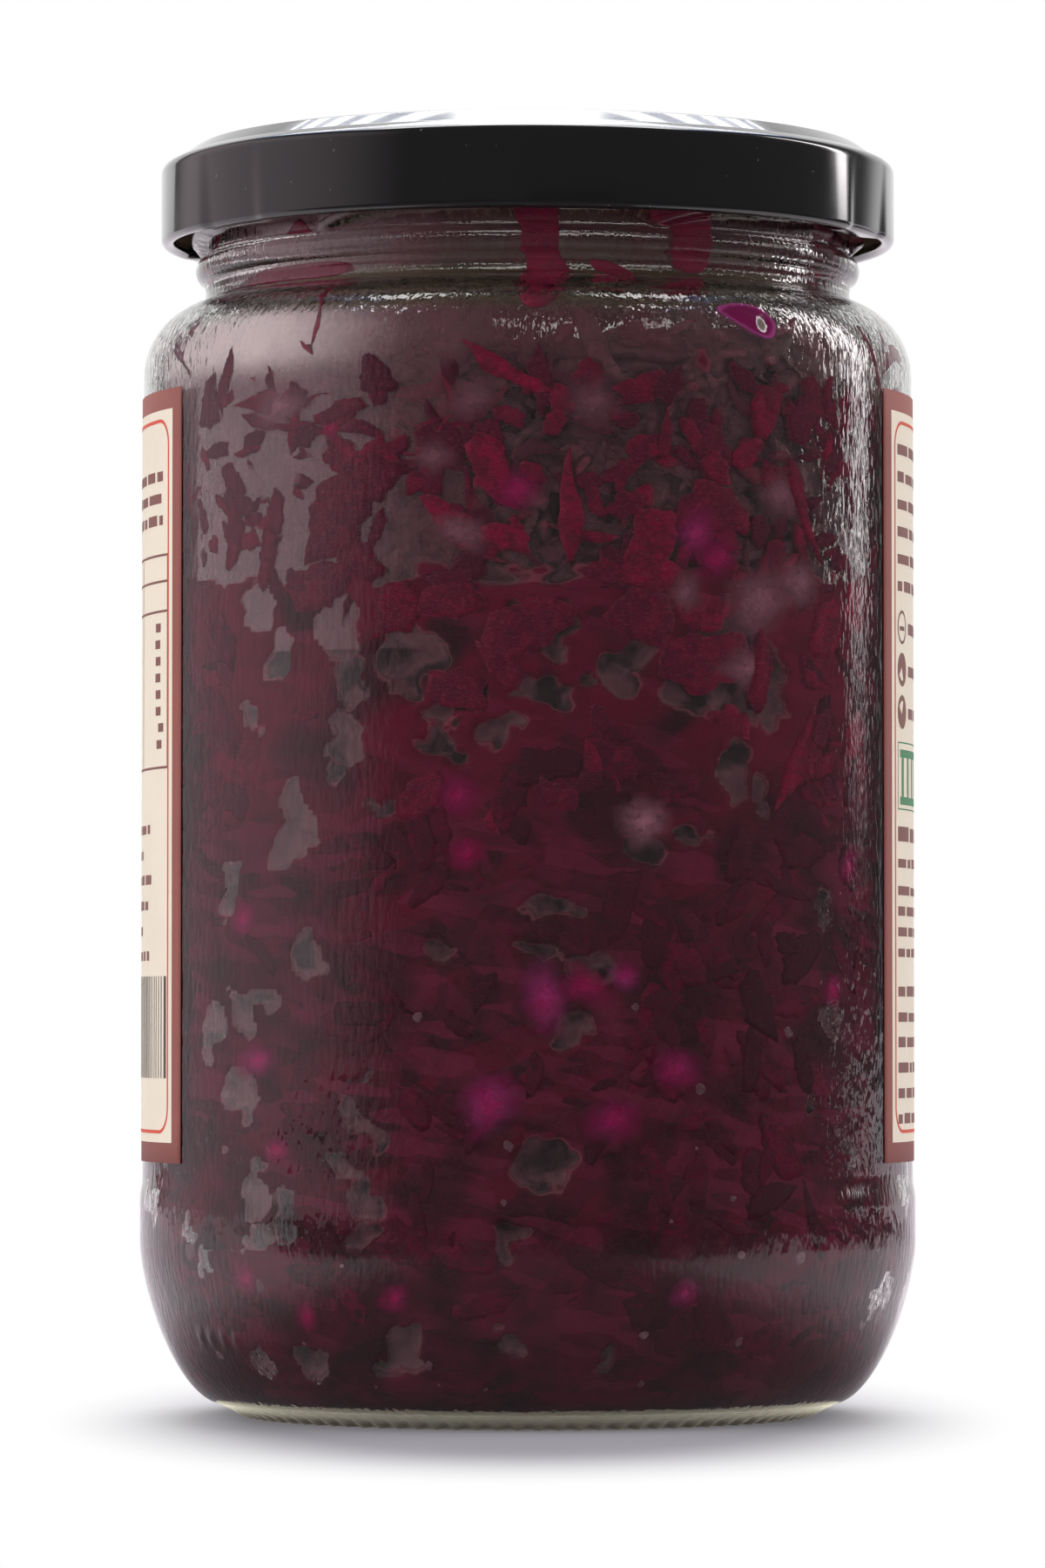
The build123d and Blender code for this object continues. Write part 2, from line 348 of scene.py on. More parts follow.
# === Glass jar ================================================================
# A pressed soda-lime jar, faintly yellow-green: foot ring with a knurl, curved
# heel, sunk label panel, rounded shoulder, transfer bead and six thread starts.
JAR_STEPS = 720
FOOT_R = 33.8
FOOT_WIDTH = 2.6
FOOT_CHAMFER = 1.6
FOOT_FLARE = 2.2
HEEL_TOP = 20.0
HEEL_POWER = 1.5
HEEL_BULGE = 0.6
FLOOR_Z = 4.4
FLOOR_RISE = 2.6
PUSH_UP = 3.2
WALL = 2.4
PANEL_SINK = 0.3
PANEL_STEP = 1.5
PANEL_BOTTOM = 27.0
SHOULDER_DROP = 24.9
SHOULDER_R = 8.8
NECK_R = 37.4
NECK_WALL = 2.8
BEAD_DROP = 12.5
BEAD_OUT = 1.2
BEAD_HALF = 1.5
RIM_ROUND = 1.1
THREADS = 6
THREAD_DROP = 7.6
THREAD_OUT = 1.8
THREAD_HALF = 1.2
THREAD_ARC = 26.0            # degrees either side of a thread's middle
THREAD_TILT = 3.0
THREAD_PHASE = -10.0
KNURLS = 90
KNURL_DEEP = 0.45
KNURL_HALF = 1.6             # how far it spreads from the middle of the foot ring
KNURL_TALL = 1.2
NOTCH_ANGLES = (-60.0, -56.8, -53.4, -50.2)
NOTCH_Z = 9.8
NOTCH_SIZE = 0.85
NOTCH_OUT = 0.22
NOTCH_REACH = 3.0            # beyond this from its middle a notch is too faint to matter

jar_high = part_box("jar")[1]
body_r = jar_high.x / mm
rim_z = jar_high.z / mm
panel_r = body_r - PANEL_SINK
inner_r = panel_r - WALL
bore_r = NECK_R - NECK_WALL
shoulder_z = rim_z - SHOULDER_DROP


def arc(centre_r, centre_z, radius, start, end, steps):
    """Points of an arc; degrees from the outward direction, anticlockwise."""
    points = []
    for i in range(steps + 1):
        turn = math.radians(start + (end - start) * i / steps)
        points.append((centre_r + radius * math.cos(turn), centre_z + radius * math.sin(turn)))
    return points


def heel_curve(r_low, z_low, r_high, z_high, steps):
    """The heel's curve, which starts flat and ends upright."""
    points = []
    for i in range(steps + 1):
        t = (i / steps) ** 1.6
        rise = (1 - (1 - t) ** HEEL_POWER) ** HEEL_BULGE
        points.append((r_low + (r_high - r_low) * rise, z_low + (z_high - z_low) * t))
    return points


def straight(r_start, z_start, r_end, z_end, steps):
    """Evenly spaced points of a line, without its first."""
    return [
        (r_start + (r_end - r_start) * i / steps, z_start + (z_end - z_start) * i / steps)
        for i in range(1, steps + 1)
    ]


def cavity_outline():
    """The inside of the glass, from the middle of the floor up to the rim."""
    floor = [(FOOT_R * i / 10, FLOOR_Z + FLOOR_RISE * (1 - (i / 10) ** 2.2)) for i in range(10)]
    heel = heel_curve(FOOT_R, FLOOR_Z, inner_r, HEEL_TOP, 22)
    side = straight(inner_r, HEEL_TOP, inner_r, shoulder_z, 24)
    bend = arc(inner_r - SHOULDER_R + WALL, shoulder_z, SHOULDER_R - WALL, 0, 90, 12)[1:]
    lip = [(bore_r + 0.4, bend[-1][1] + 0.4), (bore_r + 0.1, bend[-1][1] + 0.9)]
    bore = straight(bore_r, bend[-1][1] + 1.6, bore_r, rim_z - RIM_ROUND, 12)
    return floor + heel + side + bend + lip + bore


def glass_outline():
    """The outside of the glass, from the middle of the push-up to the rim."""
    hollow_r = FOOT_R - FOOT_WIDTH
    hollow = [(hollow_r * i / 9, PUSH_UP * (1 - (i / 9) ** 2.5)) for i in range(9)]
    ring = [(hollow_r, 0.25), (hollow_r + 0.5, 0.0), (FOOT_R - 0.9, 0.0), (FOOT_R - 0.3, 0.25)]
    ring += [(FOOT_R + 0.5, 0.75), (FOOT_R + FOOT_FLARE - 0.4, FOOT_CHAMFER - 0.25)]
    heel = heel_curve(FOOT_R + FOOT_FLARE, FOOT_CHAMFER, body_r, HEEL_TOP, 44)
    step_low = PANEL_BOTTOM - PANEL_STEP
    step = [(body_r, step_low - 1.2), (body_r - 0.02, step_low), (body_r - 0.15, PANEL_BOTTOM - 0.75)]
    step += [(panel_r + 0.02, PANEL_BOTTOM), (panel_r, PANEL_BOTTOM + 1.2)]
    side = straight(panel_r, PANEL_BOTTOM + 1.2, panel_r, shoulder_z, 20)
    bend = arc(panel_r - SHOULDER_R, shoulder_z, SHOULDER_R, 0, 72, 16)[1:]
    crook_r, crook_z = bend[-1]
    crook = [(crook_r - 0.6, crook_z + 0.2), (crook_r - 0.95, crook_z + 0.5), (NECK_R, crook_z + 1.4)]
    bead_z = rim_z - BEAD_DROP
    bead = [
        (NECK_R + BEAD_OUT * math.cos(math.radians(t)), bead_z + BEAD_HALF * math.sin(math.radians(t)))
        for t in range(-80, 81, 16)
    ]
    neck = straight(NECK_R, bead_z + BEAD_HALF + 0.1, NECK_R, rim_z - RIM_ROUND, 36)
    rim = arc(NECK_R - RIM_ROUND, rim_z - RIM_ROUND, RIM_ROUND, 0, 90, 5)[1:]
    return hollow + ring + heel + step + side + bend + crook + bead + neck + rim


def turned(outline, steps):
    """A radius-height outline turned once round the upright axis, closed at its poles.

    An eighth of a turn is spun and then doubled three times.
    """
    bm = bmesh.new()
    verts = [bm.verts.new((0.0, -r * mm, z * mm)) for r, z in outline]
    edges = [bm.edges.new(pair) for pair in zip(verts, verts[1:])]
    bmesh.ops.spin(
        bm, geom=verts + edges, cent=(0, 0, 0), axis=(0, 0, 1), dvec=(0, 0, 0),
        angle=math.pi / 4, steps=steps // 8,
    )
    for share in (1, 2, 4):
        copied = bmesh.ops.duplicate(bm, geom=bm.verts[:] + bm.edges[:] + bm.faces[:])["geom"]
        moved = [part for part in copied if isinstance(part, bmesh.types.BMVert)]
        onward = Matrix.Rotation(share * math.pi / 4, 3, "Z")
        bmesh.ops.rotate(bm, cent=(0, 0, 0), matrix=onward, verts=moved)
    bmesh.ops.remove_doubles(bm, verts=bm.verts[:], dist=1e-6)
    bmesh.ops.recalc_face_normals(bm, faces=bm.faces[:])
    return bm


def angle_of(point):
    """Degrees round from -Y towards +X."""
    return math.degrees(math.atan2(point.x, -point.y))


def wrap(degrees):
    """The same angle between -180 and 180."""
    return (degrees + 180) % 360 - 180


def thread_rise(angle, z):
    """How far the thread stands out here."""
    best = 0.0
    for number in range(THREADS):
        along = wrap(angle - THREAD_PHASE - number * 360 / THREADS)
        if abs(along) > THREAD_ARC + 4:
            continue
        lift = NECK_R * math.sin(math.radians(along)) * math.sin(math.radians(THREAD_TILT))
        tail = max(0.0, -along - 12) / (THREAD_ARC - 12)
        middle = rim_z - THREAD_DROP + lift - 1.1 * tail ** 2
        across = (z - middle) / THREAD_HALF
        end = min(1.0, max(0.0, (THREAD_ARC + 3 - abs(along)) / 7))
        if abs(across) < 1:
            best = max(best, THREAD_OUT * math.sqrt(1 - across * across) * math.sqrt(end))
    return best


rim_bridge = arc(bore_r + RIM_ROUND, rim_z - RIM_ROUND, RIM_ROUND, 90, 170, 5)
jar_outline = glass_outline() + rim_bridge + cavity_outline()[::-1]
bm = turned(jar_outline, JAR_STEPS)
knurl_r = FOOT_R - 0.6
for vert in bm.verts:
    radius = math.hypot(vert.co.x, vert.co.y) / mm
    z = vert.co.z / mm
    angle = angle_of(vert.co)
    if radius > NECK_R - 0.1 and rim_z - BEAD_DROP + BEAD_HALF < z < rim_z - 2:
        grown = (radius + thread_rise(angle, z)) / radius
        vert.co.x *= grown
        vert.co.y *= grown
    near_foot = max(0.0, 1 - abs(radius - knurl_r) / KNURL_HALF)
    if near_foot > 0 and z < KNURL_TALL:
        dip = 0.5 + 0.5 * math.cos(math.radians(angle * KNURLS))
        vert.co.z += KNURL_DEEP * mm * dip * near_foot
    if radius > 40 and abs(z - NOTCH_Z) < NOTCH_REACH:
        for notch in NOTCH_ANGLES:
            aside = wrap(angle - notch) / NOTCH_SIZE
            upright = (z - NOTCH_Z) / NOTCH_SIZE
            bump = NOTCH_OUT * math.exp(-aside * aside - upright * upright)
            vert.co.x += bump * mm * math.sin(math.radians(angle))
            vert.co.y -= bump * mm * math.cos(math.radians(angle))


def new_group(name, given, *results):
    """An empty group of values; returns it with the value it is given and the sockets it fills."""
    group = bpy.data.node_groups.new(name, "ShaderNodeTree")
    group.interface.new_socket(given, in_out="INPUT", socket_type="NodeSocketFloat")
    for result in results:
        group.interface.new_socket(result, in_out="OUTPUT", socket_type="NodeSocketFloat")
    return group, group.nodes.new("NodeGroupInput").outputs[0], group.nodes.new("NodeGroupOutput").inputs


def mottled(tree, vector, scale, detail=2.0, **more):
    """One Noise node; returns its grey output."""
    inputs = {"Vector": vector, "Scale": scale, "Detail": detail, **more}
    return add(tree, "ShaderNodeTexNoise", inputs).outputs[0]


def bumped(tree, height, strength, distance):
    """One Bump node; returns the normal."""
    inputs = {"Height": height, "Strength": strength, "Distance": distance}
    return add(tree, "ShaderNodeBump", inputs).outputs[0]


def peel_group():
    """Height of the faint ripple and the upright streaks that pressed glass keeps."""
    group, streak_share, results = new_group("glass ripple", "Streak", "Height")
    spot = spot_of(group)
    tall = add(group, "ShaderNodeMapping", {"Vector": spot, "Scale": (1.0, 1.0, 0.33)}).outputs[0]
    ripple = mottled(group, spot, 260.0, 1.0)
    streak = mottled(group, tall, 1500.0, 1.5)
    scaled = times(group, streak, streak_share)
    group.links.new(maths(group, "ADD", ripple, scaled), results["Height"])
    return group


def glass_material():
    """Clear glass whose shadow is clear as well, so that the contents are lit through it."""
    material, tree = new_material("jar_glass")
    ripple = add(tree, "ShaderNodeGroup", {"Streak": 1.7}, node_tree=peel_group())
    bump = bumped(tree, ripple.outputs[0], 0.22, 0.0002)
    glass = add(tree, "ShaderNodeBsdfPrincipled", {
        "Base Color": (0.968, 0.966, 0.935, 1), "Roughness": 0.0, "IOR": 1.52,
        "Transmission Weight": 1.0, "Normal": bump,
    })
    clear = add(tree, "ShaderNodeBsdfTransparent", {"Color": (0.95, 0.96, 0.93, 1)})
    path = add(tree, "ShaderNodeLightPath")
    passing = maths(tree, "MAXIMUM", path.outputs["Is Shadow Ray"], path.outputs["Is Diffuse Ray"])
    surface = add(tree, "ShaderNodeMixShader", {0: passing, 1: glass.outputs[0], 2: clear.outputs[0]})
    to_output(tree, surface)
    return material


def finish_piece(bm, name, material, slot, *nodes):
    """Makes the bmesh a piece of the jar, standing for these CAD nodes."""
    mesh = meshed(bm, name)
    mesh.shade_smooth()
    mesh.materials.append(material)
    piece = link_new(name, mesh)
    if nodes:
        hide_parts(*nodes)
    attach(piece, "root")
    return piece


finish_piece(bm, "glass_jar", glass_material(), "jar_glass", "jar")

# === Packed cabbage ===========================================================
# Shredded red cabbage pressed down in its brine. The brine wets the glass all
# the way up to the looser top layer, apart from pockets of trapped air. Its
# skin reaches just into the glass, so that wet places show no gap.
CORE_STEPS = 440
WET_REACH = 0.10             # how far what is wet reaches into the glass
LOOSE_Z = 94.0               # above this the shreds lie loose, with air between
POCKET_DEEP = 1.5
POCKET_SHARE = 0.62          # a pocket's half width as a share of its listed size
CORE_SPACING = 0.62          # between the rings of the skin
TOP_RINGS = 26
LEVEL_FACING = 0.75          # a face whose normal rises or falls this steeply counts as level
random.seed(11)

# Air pockets against the glass: angle, height, width, height across, turn.
POCKETS = [
    (-35, 52.8, 3.4, 4.2, 0), (-48, 46.6, 1.6, 4.8, 20), (-44, 47.6, 4.2, 1.6, 15),
    (-55, 43.6, 2.4, 6.0, -8), (-48.5, 37.8, 4.6, 4.6, 0), (-25.4, 34.0, 1.8, 5.8, 32),
    (-44.6, 29.4, 1.8, 2.4, 0), (-28.6, 29.4, 3.0, 1.8, -30), (2.0, 29.6, 5.6, 4.2, 25),
    (7.2, 44.4, 3.6, 3.0, 20), (1.4, 53.3, 4.6, 1.6, 0), (9.0, 51.4, 5.0, 2.2, -20),
    (3.3, 58.1, 5.0, 1.8, -5), (-13.0, 53.8, 2.0, 2.0, 0), (-24, 39.5, 1.7, 1.4, 0),
    (-45, 25.5, 2.0, 5.0, 10), (-42.5, 21.2, 5.2, 2.0, 12), (-38.6, 24.4, 2.2, 4.6, -6),
    (-25, 26.0, 2.6, 5.4, 35), (-26, 22.1, 2.7, 1.8, 0), (-2.4, 22.1, 4.0, 1.6, 0),
    (-3.4, 20.6, 1.6, 2.6, 20), (-61, 21.2, 1.5, 1.9, 0), (-19.6, 9.7, 3.5, 3.5, 0),
    (-37.5, 8.3, 4.6, 2.6, 20), (-48, 8.2, 2.8, 1.9, 15), (-2.4, 10.2, 3.6, 1.9, -30),
    (-23, 7.9, 1.9, 1.5, 0), (-57, 18.6, 1.1, 2.8, 12), (13, 8.5, 1.2, 1.0, 0),
    (-17.4, 85.7, 7.0, 5.0, 25), (-18.2, 82.4, 3.6, 2.6, 35), (-27.5, 82.9, 3.2, 4.8, 15),
    (-28.8, 89.4, 4.0, 6.0, 20), (-28, 77.8, 3.2, 1.9, -20), (-27.2, 75.5, 2.9, 1.9, 0),
    (-12.2, 80.3, 2.2, 4.6, -28), (-7.8, 81.0, 1.6, 2.0, 0), (-3.9, 77.5, 4.2, 2.6, 40),
    (-14.5, 76.2, 3.2, 2.3, -15), (-11.0, 74.3, 2.7, 1.7, -25), (-2.7, 89.9, 1.7, 2.2, -30),
    (4.3, 88.4, 2.8, 5.4, -15), (16.0, 89.7, 2.7, 1.8, 0), (15.8, 85.7, 4.2, 1.8, 8),
    (14.0, 83.6, 3.4, 3.8, 0), (30.5, 88.0, 6.4, 3.2, 18), (25.0, 81.8, 6.6, 4.2, -10),
    (32.5, 81.6, 4.4, 5.0, 10), (39.0, 82.9, 3.0, 8.2, 0), (2.6, 81.6, 5.6, 1.4, -12),
    (8.7, 83.2, 1.6, 1.0, 0), (33.0, 74.9, 3.4, 2.8, 0), (32.5, 71.7, 2.4, 3.8, 10),
    (37.8, 70.5, 2.4, 4.2, 0), (25.0, 66.2, 3.0, 1.9, -20), (17.2, 64.7, 3.8, 1.4, -35),
    (-22, 69.2, 2.1, 1.0, -20), (-30, 73.3, 1.9, 2.8, 25), (-40, 86.0, 2.2, 4.6, -20),
    (-45, 80.5, 2.4, 3.0, 30), (-44, 91.0, 3.2, 5.0, 10), (-39, 64.5, 4.2, 4.0, 35),
    (-50, 60.5, 1.8, 5.5, -10), (-36, 68.5, 3.0, 5.4, 30), (50, 58.0, 2.0, 3.0, 0),
    (52, 46.0, 1.6, 3.4, 10), (47, 36.5, 2.0, 1.4, 0), (56, 30.0, 1.3, 3.4, -10),
]
ROUND_SIDE = 34              # more of them, scattered under and behind the label
for _ in range(ROUND_SIDE):
    POCKETS.append((
        random.uniform(68, 292), random.uniform(11, 27), random.uniform(1.2, 4.6),
        random.uniform(1.2, 3.8), random.uniform(-40, 40),
    ))


def offset_outline(outline, out):
    """The outline moved outwards along its own normals."""
    moved = []
    for i, (r, z) in enumerate(outline):
        before = outline[max(i - 1, 0)]
        after = outline[min(i + 1, len(outline) - 1)]
        along = Vector((after[0] - before[0], after[1] - before[1])).normalized()
        moved.append((max(0.0, r + along.y * out), z - along.x * out))
    return moved


def resampled(outline, step):
    """The same outline with points at an even spacing."""
    points = np.array(outline)
    length = np.concatenate([[0], np.cumsum(np.hypot(*np.diff(points, axis=0).T))])
    marks = np.linspace(0, length[-1], int(length[-1] / step) + 1)
    return list(zip(np.interp(marks, length, points[:, 0]), np.interp(marks, length, points[:, 1])))


cavity = cavity_outline()
cavity_z = np.array([z for r, z in cavity[10:]])
cavity_r = np.array([r for r, z in cavity[10:]])


def glass_inside(z):
    """Radius of the glass's inner face at this height; z may be an array."""
    return np.interp(z, cavity_z, cavity_r)


def heap_height(x, y):
    """Level of the heaped shreds, in soft uneven mounds."""
    mounds = 0.9 * np.sin(x / 7.3 + 1.1) * np.cos(y / 8.9 - 0.4)
    tufts = 0.5 * np.sin((x + y) / 4.7 + 0.7) + 0.4 * np.cos((x - 1.7 * y) / 6.1)
    dish = 1.2 * (np.hypot(x, y) / inner_r) ** 2 - 0.6
    return rim_z - SHOULDER_DROP + mounds + tufts + dish


def noise_at(points, size, seed):
    """Smooth noise, about -1 to 1, at millimetre points; size is that of its features."""
    shift = Vector((seed * 13.7, seed * 7.1, seed * 3.3))
    return np.array([noise.noise(Vector(p) / size + shift) for p in points])


def rotated(x, y, degrees):
    """These coordinates turned anticlockwise."""
    cos_turn = math.cos(math.radians(degrees))
    sin_turn = math.sin(math.radians(degrees))
    return x * cos_turn - y * sin_turn, x * sin_turn + y * cos_turn


def points_of(verts):
    """Positions of these vertices as an array."""
    return np.array([v.co for v in verts])


def place_all(bm, places):
    """Moves each vertex to its place, in millimetres."""
    for vert, place in zip(bm.verts, places):
        vert.co = Vector(place) * mm


core_side = [p for p in offset_outline(cavity, WET_REACH) if p[1] < shoulder_z + 0.5]
core_side = resampled(core_side[10:], CORE_SPACING)
core_floor = offset_outline(cavity, WET_REACH)[:10]
top_r = core_side[-1][0]
core_top = [(top_r * (1 - i / TOP_RINGS), shoulder_z) for i in range(1, TOP_RINGS + 1)]
bm = turned(core_floor + core_side + core_top, CORE_STEPS)
points = points_of(bm.verts) / mm
normals = np.array([v.normal for v in bm.verts])
angles = np.degrees(np.arctan2(points[:, 0], -points[:, 1]))
heights = points[:, 2]
radii = np.hypot(points[:, 0], points[:, 1])
on_top = (heights > shoulder_z - 0.2) & (radii < top_r - 0.3)

ripple = noise_at(points, 5.0, 1)
fine = noise_at(points, 1.9, 2)
sway = noise_at(points, 3.4, 3)
loose = np.clip((heights - LOOSE_Z + 2.5 * ripple) / 3.0, 0, 1)
wet = 0.62 + 0.10 * fine
wet = wet * (1 - loose) + (-0.62 + 0.85 * ripple + 0.5 * fine) * loose
seam = np.exp(-((heights - LOOSE_Z - 1.5 * sway) / 0.9) ** 2)
wet -= 0.75 * seam * np.clip(0.5 + 2.0 * noise_at(points, 9.0, 4), 0, 1)
for angle, height, width, tall, turn in POCKETS:
    aside = np.radians((angles - angle + 180) % 360 - 180) * inner_r + 1.5 * fine + 1.3 * sway
    upright = heights - height + 1.5 * sway - 1.2 * fine
    across, along = rotated(aside, upright, -turn)
    reach = 1 - np.sqrt((across / (width * POCKET_SHARE)) ** 2 + (along / (tall * POCKET_SHARE)) ** 2)
    wet = np.minimum(wet, np.where(reach > -0.6, -reach * 1.1, 9))
wet = np.clip(wet, -1, 1)
recess = np.clip(-wet / 0.55, 0, 1)
depth = (WET_REACH + 0.02) * np.clip(0.5 - wet / 0.12, 0, 1) + POCKET_DEEP * recess ** 0.6
depth += loose * recess * 1.2 * (0.5 + 0.5 * noise_at(points, 2.6, 5))
depth[on_top] = 0
moved = points - normals * depth[:, None]
heap = heap_height(points[:, 0], points[:, 1]) - 0.8
inside_top = on_top | (radii < top_r * 0.98) & (heights > shoulder_z - 1)
moved[inside_top, 2] = heap[inside_top] + 0.9 * noise_at(points[inside_top], 2.2, 6)
place_all(bm, moved)
core_wet = wet.copy()
core_wet[inside_top] = -0.6


def scaled_by(tree, vector, factor):
    """The vector made longer by this factor."""
    return add(tree, "ShaderNodeVectorMath", {0: vector, "Scale": factor}, operation="SCALE").outputs[0]


def band(tree, value, low, high):
    """1 between two pairs of values, fading to 0 within each pair."""
    return times(tree, smooth_range(tree, value, *low), smooth_range(tree, value, *high))


def grain_group():
    """Veins and mottling of cabbage, as a value about 0 to 1."""
    group, size, results = new_group("cabbage grain", "Size", "Mottle", "Fibre")
    sized = scaled_by(group, spot_of(group), size)
    slanted = add(group, "ShaderNodeMapping", {
        "Vector": sized, "Rotation": (0.2, 0.7, 0.3), "Scale": (1.2, 1.2, 5.0),
    }).outputs[0]
    group.links.new(mottled(group, sized, 1.0, 4.0, Distortion=0.6), results["Mottle"])
    group.links.new(mottled(group, slanted, 1.6, 3.0, Distortion=1.0), results["Fibre"])
    return group


cabbage_grain = grain_group()


def grained(tree, size):
    """The cabbage's grain at this size; returns its two outputs."""
    return add(tree, "ShaderNodeGroup", {"Size": size}, node_tree=cabbage_grain).outputs


def marked(tree, name):
    """The number that the mesh holds under this name."""
    return add(tree, "ShaderNodeAttribute", attribute_name=name).outputs["Fac"]


def skinned(tree, inputs):
    """Gives the material one Principled surface."""
    to_output(tree, add(tree, "ShaderNodeBsdfPrincipled", inputs))


BRINE = paint(66, 18, 32)
BRINE_DEEP = paint(40, 19, 24)
BRINE_RED = paint(84, 13, 35)
BRINE_CLEAR = paint(82, 9, 34)
POCKET_FLOOR = paint(92, 58, 67)
POCKET_BLACK = paint(46, 31, 36)


def shred_layer(tree, around_up, turn, seed, long_size, thin_size):
    """One layer of soft long cells lying at this turn; returns a random value a cell."""
    placed = add(tree, "ShaderNodeMapping", {
        "Vector": around_up, "Location": (seed, seed * 0.37, 0), "Rotation": (0, 0, math.radians(turn)),
        "Scale": (long_size * mm, thin_size * mm, 1),
    }, vector_type="TEXTURE").outputs[0]
    wavy = add(tree, "ShaderNodeTexNoise", {"Vector": around_up, "Scale": 260.0, "Detail": 1.0})
    shifted = scaled_by(tree, wavy.outputs["Color"], 0.9)
    bent = add(tree, "ShaderNodeVectorMath", {0: placed, 1: shifted}, operation="ADD").outputs[0]
    cells = add(
        tree, "ShaderNodeTexVoronoi", {"Vector": bent, "Scale": 1.0, "Randomness": 1.0, "Smoothness": 0.25},
        feature="SMOOTH_F1", voronoi_dimensions="2D",
    )
    return add(tree, "ShaderNodeSeparateColor", {0: cells.outputs["Color"]}).outputs[0]


def core_material():
    """Brine-soaked shreds seen through the glass, and dark pocket floors with a painted highlight round their
    edges.
    """
    material, tree = new_material("packed_cabbage")
    unrolled = add(tree, "ShaderNodeUVMap", uv_map="unrolled").outputs[0]
    wetness = marked(tree, "wet")
    grain = grained(tree, 170.0)
    fine_grain = grained(tree, 900.0)
    tone = mixed(tree, smooth_range(tree, grain["Mottle"], 0.36, 0.62), BRINE_DEEP, BRINE)
    layers = ((28, 3.0, 8.0, 2.3, BRINE_RED), (-37, 9.0, 7.0, 1.9, paint(76, 22, 40)),
              (76, 17.0, 9.0, 2.6, paint(46, 20, 27)), (-8, 31.0, 6.0, 1.5, paint(92, 26, 50)))
    for turn, seed, long_size, thin_size, colour in layers:
        cell = shred_layer(tree, unrolled, turn, seed, long_size, thin_size)
        tone = tinted(tree, smooth_range(tree, cell, 0.45, 0.85), 0.50, tone, colour)
    spot = spot_of(tree)
    level = split(tree, spot)[2]
    broad = mottled(tree, spot, 85.0, 2.0)
    clear = times(tree, smooth_range(tree, level, 0.058, 0.080), smooth_range(tree, broad, 0.36, 0.56))
    tone = tinted(tree, clear, 0.55, tone, BRINE_CLEAR)
    tone = tinted(tree, smooth_range(tree, broad, 0.50, 0.36), 0.75, tone, BRINE_DEEP)
    fibre = smooth_range(tree, fine_grain["Fibre"], 0.50, 0.75)
    tone = tinted(tree, fibre, 0.20, tone, paint(104, 46, 58))
    floor = mixed(tree, smooth_range(tree, grain["Mottle"], 0.40, 0.56), POCKET_BLACK, POCKET_FLOOR)
    base = mixed(tree, smooth_range(tree, wetness, -0.10, -0.02), floor, tone)
    # A lighter line round each air pocket, where the brine meets it: a painted highlight
    outline = band(tree, wetness, (-0.06, 0.01), (0.12, 0.03))
    base = tinted(tree, outline, 0.40, base, paint(118, 66, 76))
    bump = bumped(tree, fine_grain["Mottle"], 0.4, 0.0002)
    skinned(tree, {
        "Base Color": base, "Roughness": 0.55, "Specular IOR Level": 0.05, "Normal": bump,
    })
    return material


def set_attribute(mesh, name, values):
    """A number at each vertex, for the material to read."""
    numbers = np.asarray(values, dtype=np.float32)
    mesh.attributes.new(name, "FLOAT", "POINT").data.foreach_set("value", numbers)


def read_all(parts, name, kind, width=1):
    """One property of all these parts as an array, with a row a part when it is wide."""
    values = np.zeros(len(parts) * width, dtype=kind)
    parts.foreach_get(name, values)
    return values.reshape(-1, width) if width > 1 else values


def unroll(mesh):
    """A UV map of metres round the jar and metres up, with its seam at the back.

    Level parts, such as the bottom, lie flat in it.
    """
    place = read_all(mesh.vertices, "co", float, 3)
    turn = np.arctan2(place[:, 0], -place[:, 1])
    corner = read_all(mesh.loops, "vertex_index", np.int32)
    flat = np.column_stack([turn[corner] * inner_r * mm, place[corner, 2]])
    facing_up = np.abs(read_all(mesh.polygons, "normal", float, 3)[:, 2])
    level = np.repeat(facing_up > LEVEL_FACING, read_all(mesh.polygons, "loop_total", np.int32))
    flat[level] = place[corner[level], :2]
    mesh.uv_layers.new(name="unrolled").data.foreach_set("uv", flat.ravel())


core = finish_piece(bm, "packed_cabbage", core_material(), "cabbage", "kraut")
set_attribute(core.data, "wet", core_wet)
unroll(core.data)


# === Shreds against the glass =================================================
# Cut leaves and ribs of red cabbage, 1 mm thick. In the brine they are soaked
# dark; in the loose top layer the wet ones stick to the glass in clear red and
# the others lie behind them, dull and mauve.
SHRED_ALONG = 6              # faces along one shred, and across it
SHRED_ACROSS = 2
LEAF_CUTS = 6
LEAF_RAGGED = 0.09
SOAKED = 330                 # how many there are of each kind
DULL = 760
WET_FINE = 110
WET_CUTS = 260
DULL_CUTS = 150
BUBBLES = 84
LOOSE = 520
CATMULL = 12                 # points between two corners of an outline


def shred_template():
    """A flat bar one unit long, wide and thick, cut into a few dozen faces."""
    bm = bmesh.new()
    bmesh.ops.create_cube(bm, size=1.0)
    for axis, cuts in ((0, SHRED_ALONG - 1), (1, SHRED_ACROSS - 1)):
        crossing = [e for e in bm.edges if abs(e.verts[0].co[axis] - e.verts[1].co[axis]) > 0.5]
        bmesh.ops.subdivide_edges(bm, edges=crossing, cuts=cuts, use_grid_fill=True)
    return meshed(bm, "shred")


def leaf_template(cuts):
    """A flat square slab two units wide, cut into a grid in front, with one face behind."""
    bm = bmesh.new()
    bmesh.ops.create_grid(bm, x_segments=cuts, y_segments=cuts, size=1.0)
    bmesh.ops.solidify(bm, geom=bm.faces[:], thickness=0.5)
    behind = [face for face in bm.faces if min(abs(vert.co.z) for vert in face.verts) > 0.1]
    bmesh.ops.dissolve_faces(bm, faces=behind, use_verts=True)
    bmesh.ops.recalc_face_normals(bm, faces=bm.faces[:])
    return meshed(bm, "leaf")


